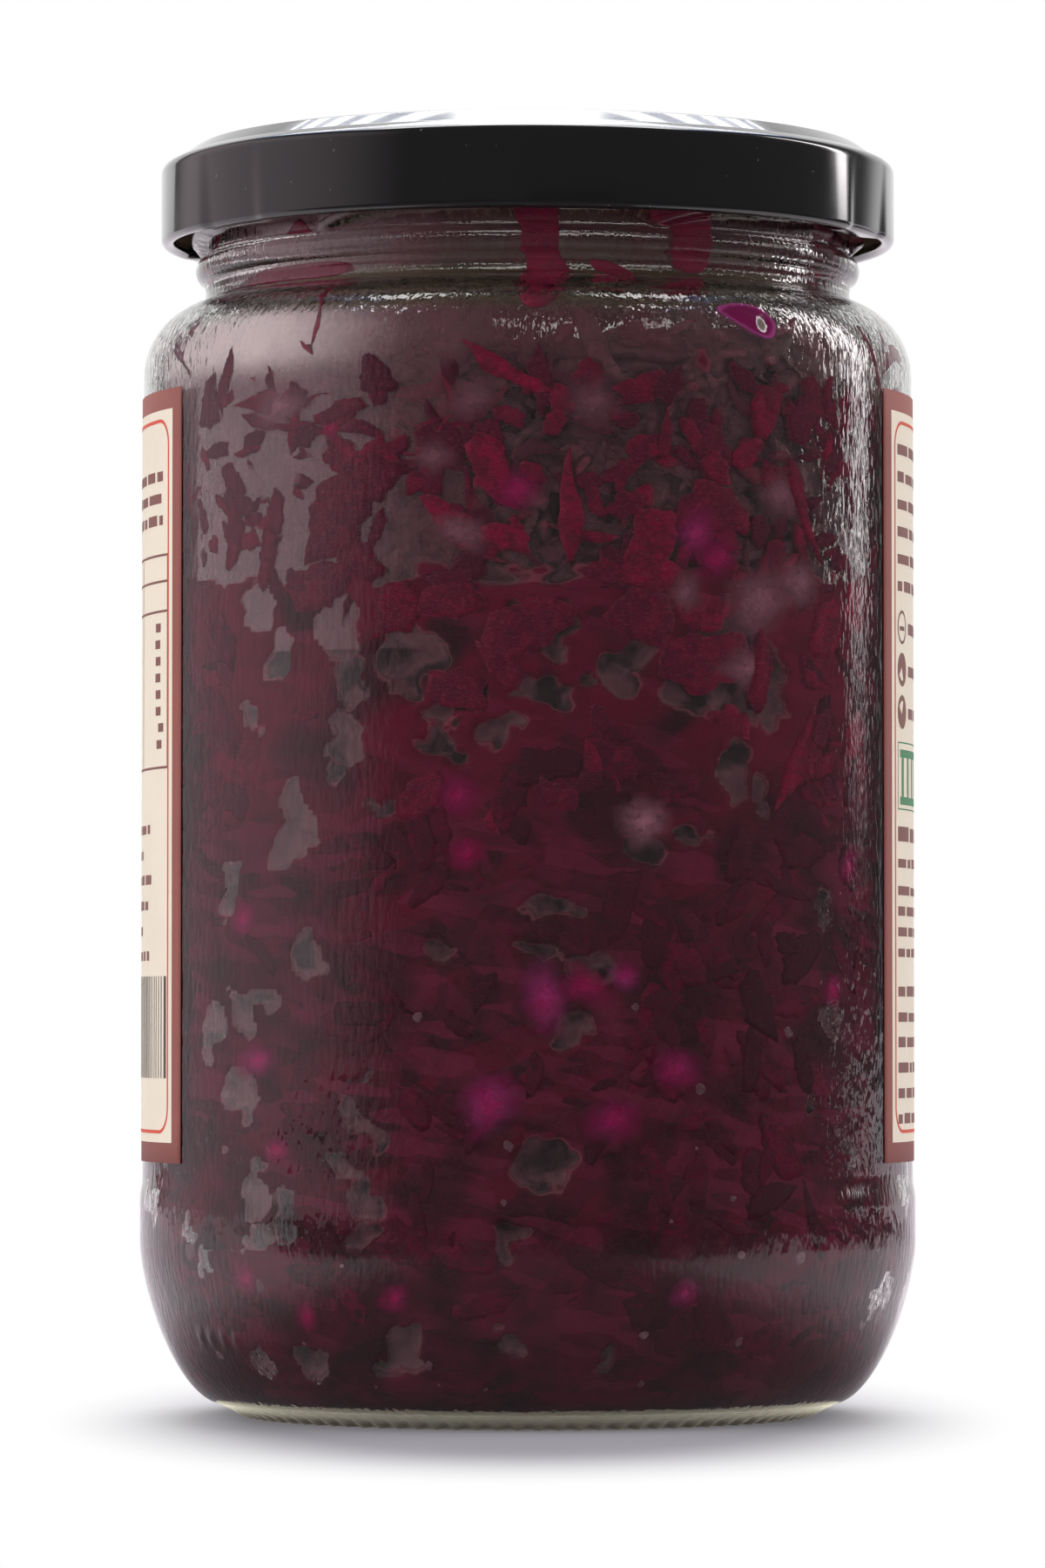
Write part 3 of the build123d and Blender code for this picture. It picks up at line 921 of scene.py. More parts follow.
def smooth_loop(corners):
    """A rounded closed outline through the corners."""
    points = np.array(corners, dtype=float)
    before, after, last = np.roll(points, 1, 0), np.roll(points, -1, 0), np.roll(points, -2, 0)
    rows = []
    for t in np.linspace(0, 1, CATMULL, endpoint=False):
        rows.append(0.5 * (
            2 * points + (after - before) * t + (2 * before - 5 * points + 4 * after - last) * t ** 2
            + (3 * points - before - 3 * after + last) * t ** 3
        ))
    return np.stack(rows, axis=1).reshape(-1, 2)


def cut_loop(corners):
    """A straight-sided closed outline through the corners."""
    points = np.array(corners, dtype=float)
    after = np.roll(points, -1, 0)
    rows = [points + (after - points) * t for t in np.linspace(0, 1, CATMULL, endpoint=False)]
    return np.stack(rows, axis=1).reshape(-1, 2)


def slab_on_glass(slab, angle, height, corners, press, thick, ragged=0.0):
    """Points of a slab drawn out to this outline, in millimetres, against the inside of the glass."""
    loop = cut_loop(corners) if ragged else smooth_loop(corners)
    middle = loop.mean(axis=0)
    arms = loop - middle
    order = np.argsort(np.arctan2(arms[:, 1], arms[:, 0]))
    bearing = np.arctan2(arms[order, 1], arms[order, 0])
    length = np.hypot(arms[order, 0], arms[order, 1])
    square = np.maximum(np.abs(slab[:, 0]), np.abs(slab[:, 1]))
    facing = np.arctan2(slab[:, 1], slab[:, 0])
    reach = square * np.interp(facing, bearing, length, period=2 * math.pi)
    first, second = random.uniform(0, 6), random.uniform(0, 6)
    reach *= 1 + ragged * (np.sin(5 * facing + first) + 0.8 * np.sin(9 * facing + second))
    across = middle[0] + reach * np.cos(facing)
    z = np.clip(height + middle[1] + reach * np.sin(facing), FLOOR_Z + 1.0, rim_z - RIM_ROUND)
    outer = glass_inside(z) + press
    radius = np.where(np.abs(slab[:, 2]) < 0.1, outer - thick * 0.02, outer - thick)
    turn = math.radians(angle) + across / outer
    return np.column_stack([radius * np.sin(turn), -radius * np.cos(turn), z])


def leaf_corners(long_size, wide, turn, rough):
    """Corners of one irregular cut of leaf, turned, in millimetres."""
    count = random.randint(6, 9)
    corners = []
    for i in range(count):
        bearing = 2 * math.pi * (i + random.uniform(-0.25, 0.25)) / count
        share = random.uniform(1 - rough, 1) / 2
        x = long_size * share * math.cos(bearing)
        y = wide * share * math.sin(bearing)
        corners.append(rotated(x, y, turn))
    return corners


leaf = leaf_template(LEAF_CUTS)
leaf_slab = points_of(leaf.vertices)
leaf_rim = np.maximum(np.abs(leaf_slab[:, 0]), np.abs(leaf_slab[:, 1]))
template = shred_template()
template_points = points_of(template.vertices)
template_along = template_points[:, 0] + 0.5
template_across = template_points[:, 1]
template_out = template_points[:, 2]
shred_rim = np.maximum(np.abs(2 * template_across), np.abs(2 * template_along - 1) ** 3)


def shred_outline(long_size, wide, bend, rough, taper):
    """The template drawn out to one ragged strip: places along and up, in millimetres."""
    t = template_along
    side = np.sign(template_across)
    blunt = random.uniform(2.2, 9)
    full = (1 - 0.93 * np.abs(2 * t - 1) ** blunt) ** taper * (1 - random.uniform(0, 0.6) * t)
    phase = t * random.uniform(5, 12) + side * random.uniform(0, 3) + random.uniform(0, 6)
    half = template_across * wide * full * (1 + rough * np.sin(phase))
    skew = random.uniform(-0.5, 0.5) * wide * 2 * template_across
    along = (t - 0.5) * long_size + skew
    sway = 0.05 * long_size * np.sin(t * 7 + random.uniform(0, 6)) * rough
    return along, half + (bend * long_size * (t - 0.5) ** 2 + sway)


def random_shape(lengths, widths, bend, rough, taper):
    """The outline of a strip of random size and bend."""
    length = random.uniform(*lengths)
    wide = random.uniform(*widths)
    return shred_outline(length, wide, random.uniform(-bend, bend), rough, taper)


def wall_shred(angle, height, turn, shape, press, thick, lift):
    """Points of one shred lying along the glass; press is how far it reaches into it."""
    aside, rise = rotated(*shape, turn)
    z = np.clip(height + rise, FLOOR_Z + 1.0, rim_z - RIM_ROUND)
    turned_by = math.radians(angle) + aside / inner_r
    sag = lift * (0.5 + 0.5 * np.sin(template_along * random.uniform(2, 6) + random.uniform(0, 6)))
    outer = glass_inside(z) + press - sag
    radius = outer - (0.5 - template_out) * thick
    return np.column_stack([radius * np.sin(turned_by), -radius * np.cos(turned_by), z])


def shred_piece(name, cuts, material, shape=template, rim=shred_rim):
    """One piece of all these cuts, each given by its points and its tint."""
    bm = bmesh.new()
    for _ in cuts:
        bm.from_mesh(shape)
    place_all(bm, np.concatenate([points for points, _ in cuts]))
    piece = finish_piece(bm, name, material, "cabbage")
    set_attribute(piece.data, "tint", np.repeat([tint for _, tint in cuts], len(rim)))
    set_attribute(piece.data, "rim", np.tile(rim, len(cuts)))


def leaf_piece(name, cuts, material):
    """One piece of cuts that are leaves."""
    shred_piece(name, cuts, material, leaf, leaf_rim)


def shred_material(name, dark, bright, edge, edge_share, gloss, soft=0.0):
    """Cabbage flesh between two tones, with a lighter cut edge; soft is where its rim starts to fade."""
    material, tree = new_material(name)
    tint = marked(tree, "tint")
    rim = marked(tree, "rim")
    grain = grained(tree, 420.0)
    fine_grain = grained(tree, 1300.0)
    dark, bright, edge = [paint(*colour) for colour in (dark, bright, edge)]
    base = mixed(tree, tint, dark, bright)
    base = tinted(tree, smooth_range(tree, grain["Mottle"], 0.62, 0.38), 0.6, base, dark)
    fibre = smooth_range(tree, fine_grain["Fibre"], 0.50, 0.68)
    base = tinted(tree, fibre, 0.34, base, edge)
    vein = smooth_range(tree, fine_grain["Mottle"], 0.50, 0.36)
    base = tinted(tree, vein, 0.55, base, dark)
    patches = smooth_range(tree, grain["Fibre"], 0.40, 0.60)
    near_rim = times(tree, smooth_range(tree, rim, 0.93, 0.99), patches)
    base = tinted(tree, near_rim, edge_share, base, edge)
    bump = bumped(tree, fine_grain["Fibre"], 0.35, 0.0002)
    flesh = add(tree, "ShaderNodeBsdfPrincipled", {
        "Base Color": base, "Roughness": 0.45, "Specular IOR Level": gloss, "Normal": bump,
    })
    if soft:
        ragged = maths(tree, "MULTIPLY_ADD", grain["Mottle"], 0.9, -0.45)
        faded = smooth_range(tree, maths(tree, "ADD", rim, ragged), 1.0, soft)
        solid = smooth_range(tree, rim, 1.0, 0.75)
        tree.links.new(times(tree, faded, solid), flesh.inputs["Alpha"])
    to_output(tree, flesh)
    return material


LABEL_LEFT = -61.4           # degrees to the label's two ends
LABEL_RIGHT = 64.8
BARE_LEFT = LABEL_LEFT - 8
BARE_RIGHT = LABEL_RIGHT + 8
BARE_BELOW = 31              # heights that the label leaves bare all round
BARE_ABOVE = 115
POCKET_MARGIN = 2.5


def shown_place(low_z, high_z):
    """A random place on the glass that the label leaves bare."""
    while True:
        angle = random.uniform(-180, 180)
        height = random.uniform(low_z, high_z)
        if BARE_LEFT < angle < BARE_RIGHT or height < BARE_BELOW or height > BARE_ABOVE:
            return angle, height


def near_pocket(angle, height):
    """Whether this place on the glass is at or beside an air pocket."""
    for at_angle, at_height, width, tall, _ in POCKETS:
        aside = math.radians(wrap(angle - at_angle)) * inner_r
        upright = height - at_height
        if math.hypot(aside / (width + POCKET_MARGIN), upright / (tall + POCKET_MARGIN)) < 1:
            return True
    return False


def listed_leaves(rows, grow, rough, press, thick, ragged=0.0):
    """Leaves at their own places; press is a function, as it may be drawn anew for each."""
    cuts = []
    for angle, height, long_size, wide, turn, tint in rows:
        corners = leaf_corners(long_size * grow, wide * grow, turn, rough)
        cuts.append((slab_on_glass(leaf_slab, angle, height, corners, press(), thick, ragged), tint))
    return cuts


def scatter_leaves(cuts, wanted, levels, size, shares, rough, press, thick, tint,
                   ragged=LEAF_RAGGED, avoid=near_pocket):
    """Adds random leaves on bare glass until there are enough; size, press and tint are functions."""
    while len(cuts) < wanted:
        angle, height = shown_place(*levels)
        if avoid(angle, height):
            continue
        long_size = size()
        corners = leaf_corners(long_size, long_size * random.uniform(*shares), random.uniform(-90, 90), rough)
        cuts.append((slab_on_glass(leaf_slab, angle, height, corners, press(), thick, ragged), tint()))
    return cuts


leaf_piece("shreds_soaked", scatter_leaves(
    [], SOAKED, (5.5, 91), lambda: random.uniform(4.0, 13.0), (0.18, 0.5), 0.4,
    lambda: WET_REACH + random.uniform(0.022, 0.04), 0.8, random.random,
), shred_material(
    "cabbage_soaked", (46, 19, 27), (80, 12, 36), (96, 36, 50), 0.0, 0.05,
))

cuts = []
for _ in range(DULL):
    angle, height = shown_place(LOOSE_Z - 2, 121)
    shape = random_shape((5, 13), (1.2, 3.6), 1.4, 0.3, 0.45)
    depth_in = random.uniform(0.25, 2.0)
    points = wall_shred(angle, height, random.gauss(0, 55), shape, -depth_in, 0.9, 0.7)
    # Shreds further in get a darker tint, as painted shade
    cuts.append((points, min(1.0, max(0.0, 1.05 - depth_in / 2 + random.uniform(-0.35, 0.2)))))
shred_piece("shreds_dull", cuts, shred_material(
    "cabbage_dull", (42, 21, 28), (96, 50, 62), (118, 80, 90), 0.25, 0.2,
))

WET_STRIPS = [
    # angle, height, length, width, turn, bend, tint
    (-37.5, 111.6, 5.4, 1.0, 3, 0.3, 0.25), (-28.5, 113.0, 6.4, 1.0, 18, -0.2, 0.30),
    (-46.5, 109.3, 4.0, 1.0, 12, 0.1, 0.35), (-3.5, 117.2, 9.6, 2.6, -27, 0.25, 0.95),
    (-42.2, 97.2, 7.2, 2.3, 80, 0.2, 0.40), (45.2, 102.3, 12.0, 2.2, -68, 0.25, 0.60),
    (51.0, 110.0, 2.8, 1.6, 85, 0.1, 0.80), (6.4, 102.3, 10.0, 3.4, 86, 0.1, 0.70),
    (37.0, 84.4, 9.0, 2.8, 84, 0.15, 0.45), (44.0, 74.8, 12.0, 3.0, 66, 0.1, 0.75),
    (-49.0, 100.0, 8.0, 2.0, 84, 0.5, 0.35), (21.0, 110.5, 5.0, 1.6, 78, 0.3, 0.4),
]


def listed_strips(rows, rough, taper, press, thick):
    """Strips at their own places."""
    cuts = []
    for angle, height, long_size, wide, turn, bend, tint in rows:
        shape = shred_outline(long_size, wide, bend, rough, taper)
        cuts.append((wall_shred(angle, height, turn, shape, press, thick, 0.0), tint))
    return cuts


cuts = listed_strips(WET_STRIPS, 0.22, 0.4, WET_REACH + 0.08, 0.9)
for _ in range(WET_FINE):
    angle, height = shown_place(LOOSE_Z - 1, 117)
    shape = random_shape((3, 9), (0.8, 2.4), 1.6, 0.35, 0.45)
    turn = random.gauss(0, 60)
    press = WET_REACH + random.uniform(0, 0.04)
    cuts.append((wall_shred(angle, height, turn, shape, press, 0.9, 0.3), random.random() ** 2.4))
wet_material = shred_material(
    "cabbage_wet", (58, 16, 31), (114, 4, 44), (124, 60, 76), 0.25, 0.05,
)
shred_piece("shreds_wet", cuts, wet_material)

# --- Cuts of leaf, flat on the glass
WET_LEAVES = [
    # angle, height, length, width, turn, tint
    (-5.7, 106.1, 8.6, 5.2, -68, 0.85), (-11, 101, 7.2, 4.2, -35, 0.80), (-2.8, 98.4, 6.4, 3.4, -25, 0.75),
    (18.6, 98.4, 10.0, 5.8, 70, 0.70), (29.8, 102.3, 9.4, 7.0, 10, 0.45), (38.1, 113.4, 8.0, 3.9, 86, 0.60),
    (34.3, 108.7, 4.4, 3.8, 20, 0.65), (29, 107, 4.8, 3.2, -45, 0.55), (-30.4, 101.9, 12, 8, 60, 0.25),
    (-24.5, 105.7, 9.0, 6.0, 20, 0.20), (-33.3, 93.3, 8.6, 6.0, 30, 0.30), (58.0, 92.4, 7.4, 5.4, 60, 0.80),
    (-19.9, 90.7, 7.0, 5.0, 40, 0.45), (-11.1, 92.1, 9.6, 4.4, 5, 0.40), (0.0, 89.3, 12.6, 9.0, 8, 0.35),
    (17.0, 89.9, 10.0, 7.4, 10, 0.35), (27.2, 90.3, 8.4, 6.0, -15, 0.60), (27.2, 85.3, 12.4, 6.0, 12, 0.45),
    (18.0, 95.1, 7.4, 4.2, 5, 0.80), (52.0, 90.3, 9.6, 6.0, 75, 0.60), (-9.9, 81.9, 8.0, 6.6, 20, 0.35),
    (31.8, 78.6, 6.6, 3.4, -8, 0.60), (-15.5, 70.2, 6.6, 5.4, 30, 0.40), (58.0, 77.5, 6.4, 5.0, 70, 0.80),
    (12.0, 94.8, 6.0, 3.0, -12, 0.40), (-26.0, 96.6, 7.0, 4.6, -20, 0.30), (39.0, 96.4, 6.0, 4.0, 50, 0.35),
]
listed = listed_leaves(
    WET_LEAVES, 1.3, 0.55, lambda: WET_REACH + random.uniform(0.045, 0.075), 0.9, LEAF_RAGGED,
)
leaf_piece("leaves_wet", scatter_leaves(
    listed, WET_CUTS, (66, 117), lambda: random.uniform(2.5, 9.5), (0.25, 0.8), 0.6,
    lambda: WET_REACH + random.uniform(0.022, 0.045), 0.9, lambda: 0.6 * random.random() ** 1.6,
), wet_material)

# --- Dull leaves a little behind the glass
leaf_piece("leaves_dull", scatter_leaves(
    [], DULL_CUTS, (LOOSE_Z - 2, 119), lambda: random.uniform(5.0, 11.0), (0.3, 0.7), 0.55,
    lambda: -random.uniform(0.15, 0.9), 0.9, random.random, avoid=lambda angle, height: False,
), shred_material(
    "cabbage_frosted", (50, 21, 31), (106, 50, 67), (128, 92, 100), 0.15, 0.15, 0.45,
))

SOFT_RIBS = [
    # angle, height, length, width, turn, tint
    (2.4, 48.1, 9.6, 5.4, -76, 0.9), (-5.9, 36.3, 8.4, 7.4, 55, 0.8), (22.2, 40.3, 7.0, 5.0, -10, 0.35),
    (12.3, 34.5, 7.6, 5.6, 12, 0.30), (14.3, 50.3, 4.4, 3.4, -20, 0.8), (8.7, 49.3, 7.0, 4.6, -30, 0.05),
    (-44.5, 41.0, 8.0, 4.0, 5, 0.5), (-10.4, 70.5, 6.0, 5.4, -50, 0.15), (-9.0, 64.0, 5.0, 4.0, 20, 0.0),
    (-1.5, 104.0, 6.0, 5.4, 20, 0.2), (25.5, 99.6, 6.4, 5.6, 60, 0.5), (29.0, 96.9, 7.0, 5.0, 50, 0.1),
    (-30.5, 111.2, 2.8, 2.6, 60, 0.0), (-47.0, 57.0, 5.0, 4.0, 40, 0.3), (-40.0, 31.0, 5.0, 3.6, 10, 0.2),
    (-20.0, 15.0, 4.6, 3.6, 30, 0.2), (24.0, 15.6, 4.4, 3.4, 0, 0.5), (-47.0, 17.0, 5.0, 4.0, 0, 0.2),
    (52.0, 49.0, 4.6, 4.0, 70, 0.3), (56.0, 63.0, 4.4, 3.6, 70, 0.3), (-36.0, 13.0, 4.0, 3.4, 70, 0.1),
]
ribs = listed_leaves(SOFT_RIBS, 1.35, 0.15, lambda: WET_REACH + 0.085, 1.0)
leaf_piece("ribs_pale", ribs, shred_material(
    "cabbage_rib", (116, 4, 54), (146, 44, 104), (150, 60, 112), 0.0, 0.05, -0.10,
))

# --- Pale ends of ribs, frosted
FROSTED = [
    # angle, height, length, width, turn, tint
    (17.0, 67.6, 8.4, 9.4, 70, 1.0), (-10.0, 99.7, 10.0, 5.6, -20, 0.6), (-9.2, 114.1, 10.0, 7.4, 20, 0.2),
    (10.0, 113.9, 8.0, 9.4, 75, 0.2), (36.0, 92.0, 14.0, 13.0, 40, 0.6), (-14.0, 108.0, 8.0, 6.0, 0, 0.3),
    (44.0, 94.5, 10.0, 9.0, 0, 0.6), (41.0, 104.0, 8.0, 9.0, 70, 0.4), (-40.0, 114.0, 12.0, 7.0, 10, 0.5),
    (34.0, 84.5, 8.0, 10.0, 70, 0.5), (24.0, 93.0, 7.0, 6.0, 70, 0.4),
]
ribs = listed_leaves(FROSTED, 1.2, 0.35, lambda: WET_REACH + 0.09, 1.0, LEAF_RAGGED)
leaf_piece("ribs_frosted", ribs, shred_material(
    "cabbage_frost", (84, 46, 56), (146, 92, 108), (140, 100, 110), 0.0, 0.1, -0.10,
))

# --- Small bubbles in the brine, flat on the glass, with a lighter rim in patches as a painted highlight
leaf_piece("bubbles_trapped", scatter_leaves(
    [], BUBBLES, (5.0, 60), lambda: random.uniform(0.5, 2.2) * random.uniform(0.4, 1), (0.7, 1.3), 0.3,
    lambda: WET_REACH + 0.1, 0.5, random.random, ragged=0.0,
    avoid=lambda angle, height: random.random() > 1.15 - height / 50,
), shred_material(
    "bubble_skin", (74, 40, 50), (112, 78, 88), (150, 120, 130), 0.5, 0.2,
))

# --- Loose shreds on the heap's top
cuts = []
for _ in range(LOOSE):
    reach_out = (inner_r - 3.0) * math.sqrt(random.random())
    turn = random.uniform(0, 2 * math.pi)
    x = reach_out * math.cos(turn)
    y = reach_out * math.sin(turn)
    along, up = random_shape((7, 20), (1.2, 3.0), 1.0, 0.3, 0.5)
    facing = random.uniform(0, 2 * math.pi)
    pitch = random.gauss(0, 0.16)
    flat_x = x + along * math.cos(facing) - up * math.sin(facing)
    flat_y = y + along * math.sin(facing) + up * math.cos(facing)
    too_far = np.maximum(1.0, np.hypot(flat_x, flat_y) / (inner_r - 0.6))
    flat_x = flat_x / too_far
    flat_y = flat_y / too_far
    arch = 0.8 * np.sin(template_along * random.uniform(3, 7) + random.uniform(0, 6))
    level = heap_height(flat_x, flat_y) - 0.3 + random.uniform(-0.4, 1.2)
    z = level + along * math.tan(pitch) * 0.5 + arch + template_out * 0.9
    points = np.column_stack([flat_x, flat_y, np.minimum(z, shoulder_z + 5.2)])
    cuts.append((points, random.random() ** 1.4))
shred_piece("shreds_loose", cuts, shred_material(
    "cabbage_loose", (46, 18, 26), (110, 20, 50), (140, 80, 98), 0.3, 0.4,
))


# === Scraps and mist above the contents =======================================
# Scraps of cabbage cling to the inside of the neck and shoulder, with a drop of
# juice round a bubble. A brine mist dulls the glass between them.
SCRAP_CUTS = 14
CLINGING = 150               # scraps round the back


def clinging_scrap(angle, height, corners, press, thick):
    """A bmesh of one finely cut scrap on the glass, and its rim mark."""
    mesh = leaf_template(SCRAP_CUTS)
    slab = points_of(mesh.vertices)
    bm = bmesh.new()
    bm.from_mesh(mesh)
    place_all(bm, slab_on_glass(slab, angle, height, corners, press, thick))
    bmesh.ops.recalc_face_normals(bm, faces=bm.faces[:])
    return bm, np.maximum(np.abs(slab[:, 0]), np.abs(slab[:, 1]))


SCRAPS = {
    "shred_neck_long": (
        1.8, 13.9, 0.7,
        [(-3.0, 7.5), (1.6, 7.0), (2.4, 0.5), (3.6, -3.5), (0.6, -7.0), (-2.2, -6.2), (-1.2, -1.0)],
    ),
    "shred_neck_broad": (
        29.0, 11.9, 0.55,
        [(-4.6, 5.5), (3.0, 5.6), (3.4, -1.5), (2.0, -4.2), (-0.8, -3.6), (-1.6, 0.5)],
    ),
    "shred_neck_small": (
        15.5, 16.7, 0.5,
        [(-2.6, 2.2), (0.4, 1.6), (2.4, -0.6), (1.9, -1.9), (-0.4, -1.8)],
    ),
    "shred_neck_band": (
        -46.0, 15.3, 0.35,
        [(-7.5, 1.2), (-2.0, 1.9), (6.2, 1.7), (7.4, -0.6), (0.4, -1.6), (-4.2, -1.5), (-6.0, -2.8)],
    ),
    "shred_neck_flake": (
        -46.0, 10.3, 0.5,
        [(-1.9, -0.9), (-0.6, 1.1), (0.7, 1.0), (1.9, -0.9)],
    ),
}
scrap_material = shred_material(
    "cabbage_scrap", (84, 28, 46), (122, 10, 48), (132, 54, 74), 0.25, 0.1,
)
for name, (angle, drop, tint, corners) in SCRAPS.items():
    bm, rim = clinging_scrap(angle, rim_z - drop, corners, 0.08, 0.95)
    piece = finish_piece(bm, name.replace("shred", "scrap"), scrap_material, "cabbage", name)
    set_attribute(piece.data, "tint", np.full(len(rim), tint))
    set_attribute(piece.data, "rim", rim ** 3)

cuts = []
for _ in range(CLINGING):
    angle = random.uniform(62, 300)
    height = random.uniform(121, 141)
    shape = random_shape((4, 12), (1.5, 4.5), 1.2, 0.3, 0.4)
    points = wall_shred(angle, height, random.gauss(0, 50), shape, 0.06, 0.6, 0.1)
    cuts.append((points, random.random() ** 1.5))
# angle, height, length, width, turn, bend, tint
thin = [(-33.5, 123.2, 5.4, 0.55, 97, 0.45, 1.0), (-34.5, 125.6, 1.1, 1.0, 60, 0.0, 1.0),
        (-34.8, 120.4, 2.0, 0.9, 150, 0.0, 0.9), (64.5, 120.2, 8.0, 0.9, 118, 0.25, 0.8),
        (69.0, 122.5, 3.0, 0.7, 60, 0.2, 0.6)]
cuts += listed_strips(thin, 0.3, 0.3, 0.06, 0.5)
shred_piece("scraps_clinging", cuts, shred_material(
    "cabbage_clinging", (60, 30, 38), (118, 16, 50), (120, 56, 74), 0.2, 0.1,
))

# --- Juice drop with its bubble, whose bright rim is a painted highlight
DROP_ANGLE = 35.5
DROP_Z = 123.1
DROP_CORNERS = [
    (-3.9, 0.9), (-2.0, 1.5), (0.6, 1.6), (2.8, 0.9), (3.6, -0.3), (2.6, -1.6), (0.6, -1.3), (-1.8, -0.2),
]
BUBBLE_CORNERS = [(-0.65, 0.1), (-0.3, 0.75), (0.35, 0.6), (0.65, -0.2), (0.3, -0.8), (-0.4, -0.6)]
for name, label, angle, height, corners, press, thick, fade, middle, edge, rough, gloss in (
    ("juice_drop", "juice", DROP_ANGLE, DROP_Z, DROP_CORNERS, 0.10, 0.9,
     (0.75, 1.0), (104, 8, 66), (150, 60, 120), 0.12, 0.1),
    ("juice_bubble", "bubble", DROP_ANGLE + 2.1, DROP_Z - 0.3, BUBBLE_CORNERS, 0.16, 0.5,
     (0.55, 0.85), (112, 100, 92), (225, 205, 218), 0.2, 0.3),
):
    bm, rim = clinging_scrap(angle, height, corners, press, thick)
    material, tree = new_material(label)
    colour = mixed(tree, smooth_range(tree, marked(tree, "rim"), *fade), paint(*middle), paint(*edge))
    skinned(tree, {"Base Color": colour, "Roughness": rough, "Specular IOR Level": gloss})
    piece = finish_piece(bm, name, material, "cabbage")
    set_attribute(piece.data, "rim", rim)

# --- Mist on the inside of the glass, with painted light: paler to the left, a painted highlight on the left shoulder and olive painted shade at the neck. Where it begins and ends, in metres
MIST_LIT_LEFT = (0.004, -0.030)
MIST_ABOVE = (0.1175, 0.1215)
PAINTED_OLIVE_BAND = ((0.1235, 0.1250), (0.1305, 0.1290))
LIT_SHOULDER_BAND = ((0.1165, 0.1200), (0.1265, 0.1235))
LIT_SHOULDER_LEFT = (-0.012, -0.032)
mist_outline = [p for p in offset_outline(cavity, -0.04) if LOOSE_Z - 8 < p[1] < rim_z - 1.0]
bm = turned(mist_outline, 240)
material, tree = new_material("brine_mist")
grain = grained(tree, 130.0)
fine_grain = grained(tree, 1500.0)
place = split(tree, spot_of(tree))
# Real mist, made denser and paler to the left: the paler colour is painted light from that side
lit_left_mist = smooth_range(tree, place[0], *MIST_LIT_LEFT)
above = smooth_range(tree, place[2], *MIST_ABOVE)
painted_olive_shade = band(tree, place[2], *PAINTED_OLIVE_BAND)
patchy = smooth_range(tree, grain["Mottle"], 0.35, 0.65)
speckle = smooth_range(tree, fine_grain["Mottle"], 0.35, 0.65)
density = maths(tree, "MULTIPLY_ADD", patchy, 0.15, times(tree, speckle, 0.10))
density = maths(tree, "MULTIPLY_ADD", lit_left_mist, 0.37, density)
density = maths(tree, "MULTIPLY_ADD", above, 0.28, density)
colour = mixed(tree, patchy, paint(90, 62, 68), paint(96, 46, 60))
colour = tinted(tree, lit_left_mist, 0.6, colour, paint(136, 104, 114))
# The frosted band on the left shoulder is denser mist whose near-white colour is a painted highlight
frosted = times(tree, band(tree, place[2], *LIT_SHOULDER_BAND), smooth_range(tree, place[0], *LIT_SHOULDER_LEFT))
colour = tinted(tree, frosted, 0.8, colour, paint(206, 186, 192))
density = maths(tree, "MULTIPLY_ADD", frosted, 0.25, density)
# Olive band at the top of the shoulder: painted shade for the dim view through the far shoulder and neck
colour = tinted(tree, painted_olive_shade, 0.7, colour, paint(92, 84, 62))
skinned(tree, {
    "Base Color": colour, "Roughness": 0.7, "Specular IOR Level": 0.1, "Alpha": density,
})
finish_piece(bm, "brine_mist", material, "cabbage")


# === Lid ======================================================================
# Twist-off lid of 0.3 mm tinplate, black lacquer outside and pale inside, with a
# rolled wire edge pressed in at six lugs and a ring of sealing compound.
LID_STEPS = 480
LID_SHEET = 0.3
CORNER_DROP = 2.4
CORNER_IN = 2.1
RING_DROP = 1.4
RING_WIDTH = 3.4
PANEL_DROP = 1.6
PANEL_SLOPE = 1.4
STEP_R = 25.0
STEP_DROP = 0.4
BUTTON_R = 12.5
BUTTON_RISE = 0.5
CURL_R = 0.8
LUG_CLEAR = 0.8
LUG_ARC = 14.0
LUG_PHASE = 7.3
LUG_TALL = 2.6               # how far up the skirt a lug's dent reaches
LUG_DENT = 0.46              # how deep it is on the outside
CURL_TALL = 1.6
PALE_FROM = 1.7              # above the edge by this much the inside is pale
COMPOUND = 1.48
CORNER_STEPS = 5

lid_low, lid_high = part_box("lid")
lid_r = lid_high.x / mm
lid_top = lid_high.z / mm
lid_bottom = lid_low.z / mm
ring_outer = NECK_R + RIM_ROUND
ring_inner = ring_outer - RING_WIDTH


def filleted(outline, radii):
    """The outline with each inner corner rounded to its radius."""
    points = [outline[0]]
    for before, corner, after, radius in zip(outline, outline[1:], outline[2:], radii):
        corner_at = Vector(corner)
        back = (Vector(before) - corner_at).normalized()
        ahead = (Vector(after) - corner_at).normalized()
        half = back.angle(ahead) / 2
        run = radius / math.tan(half)
        start = corner_at + back * run
        stop = corner_at + ahead * run
        for i in range(CORNER_STEPS + 1):
            t = i / CORNER_STEPS
            points.append(tuple(start * (1 - t) ** 2 + corner_at * 2 * t * (1 - t) + stop * t ** 2))
    return points + [outline[-1]]


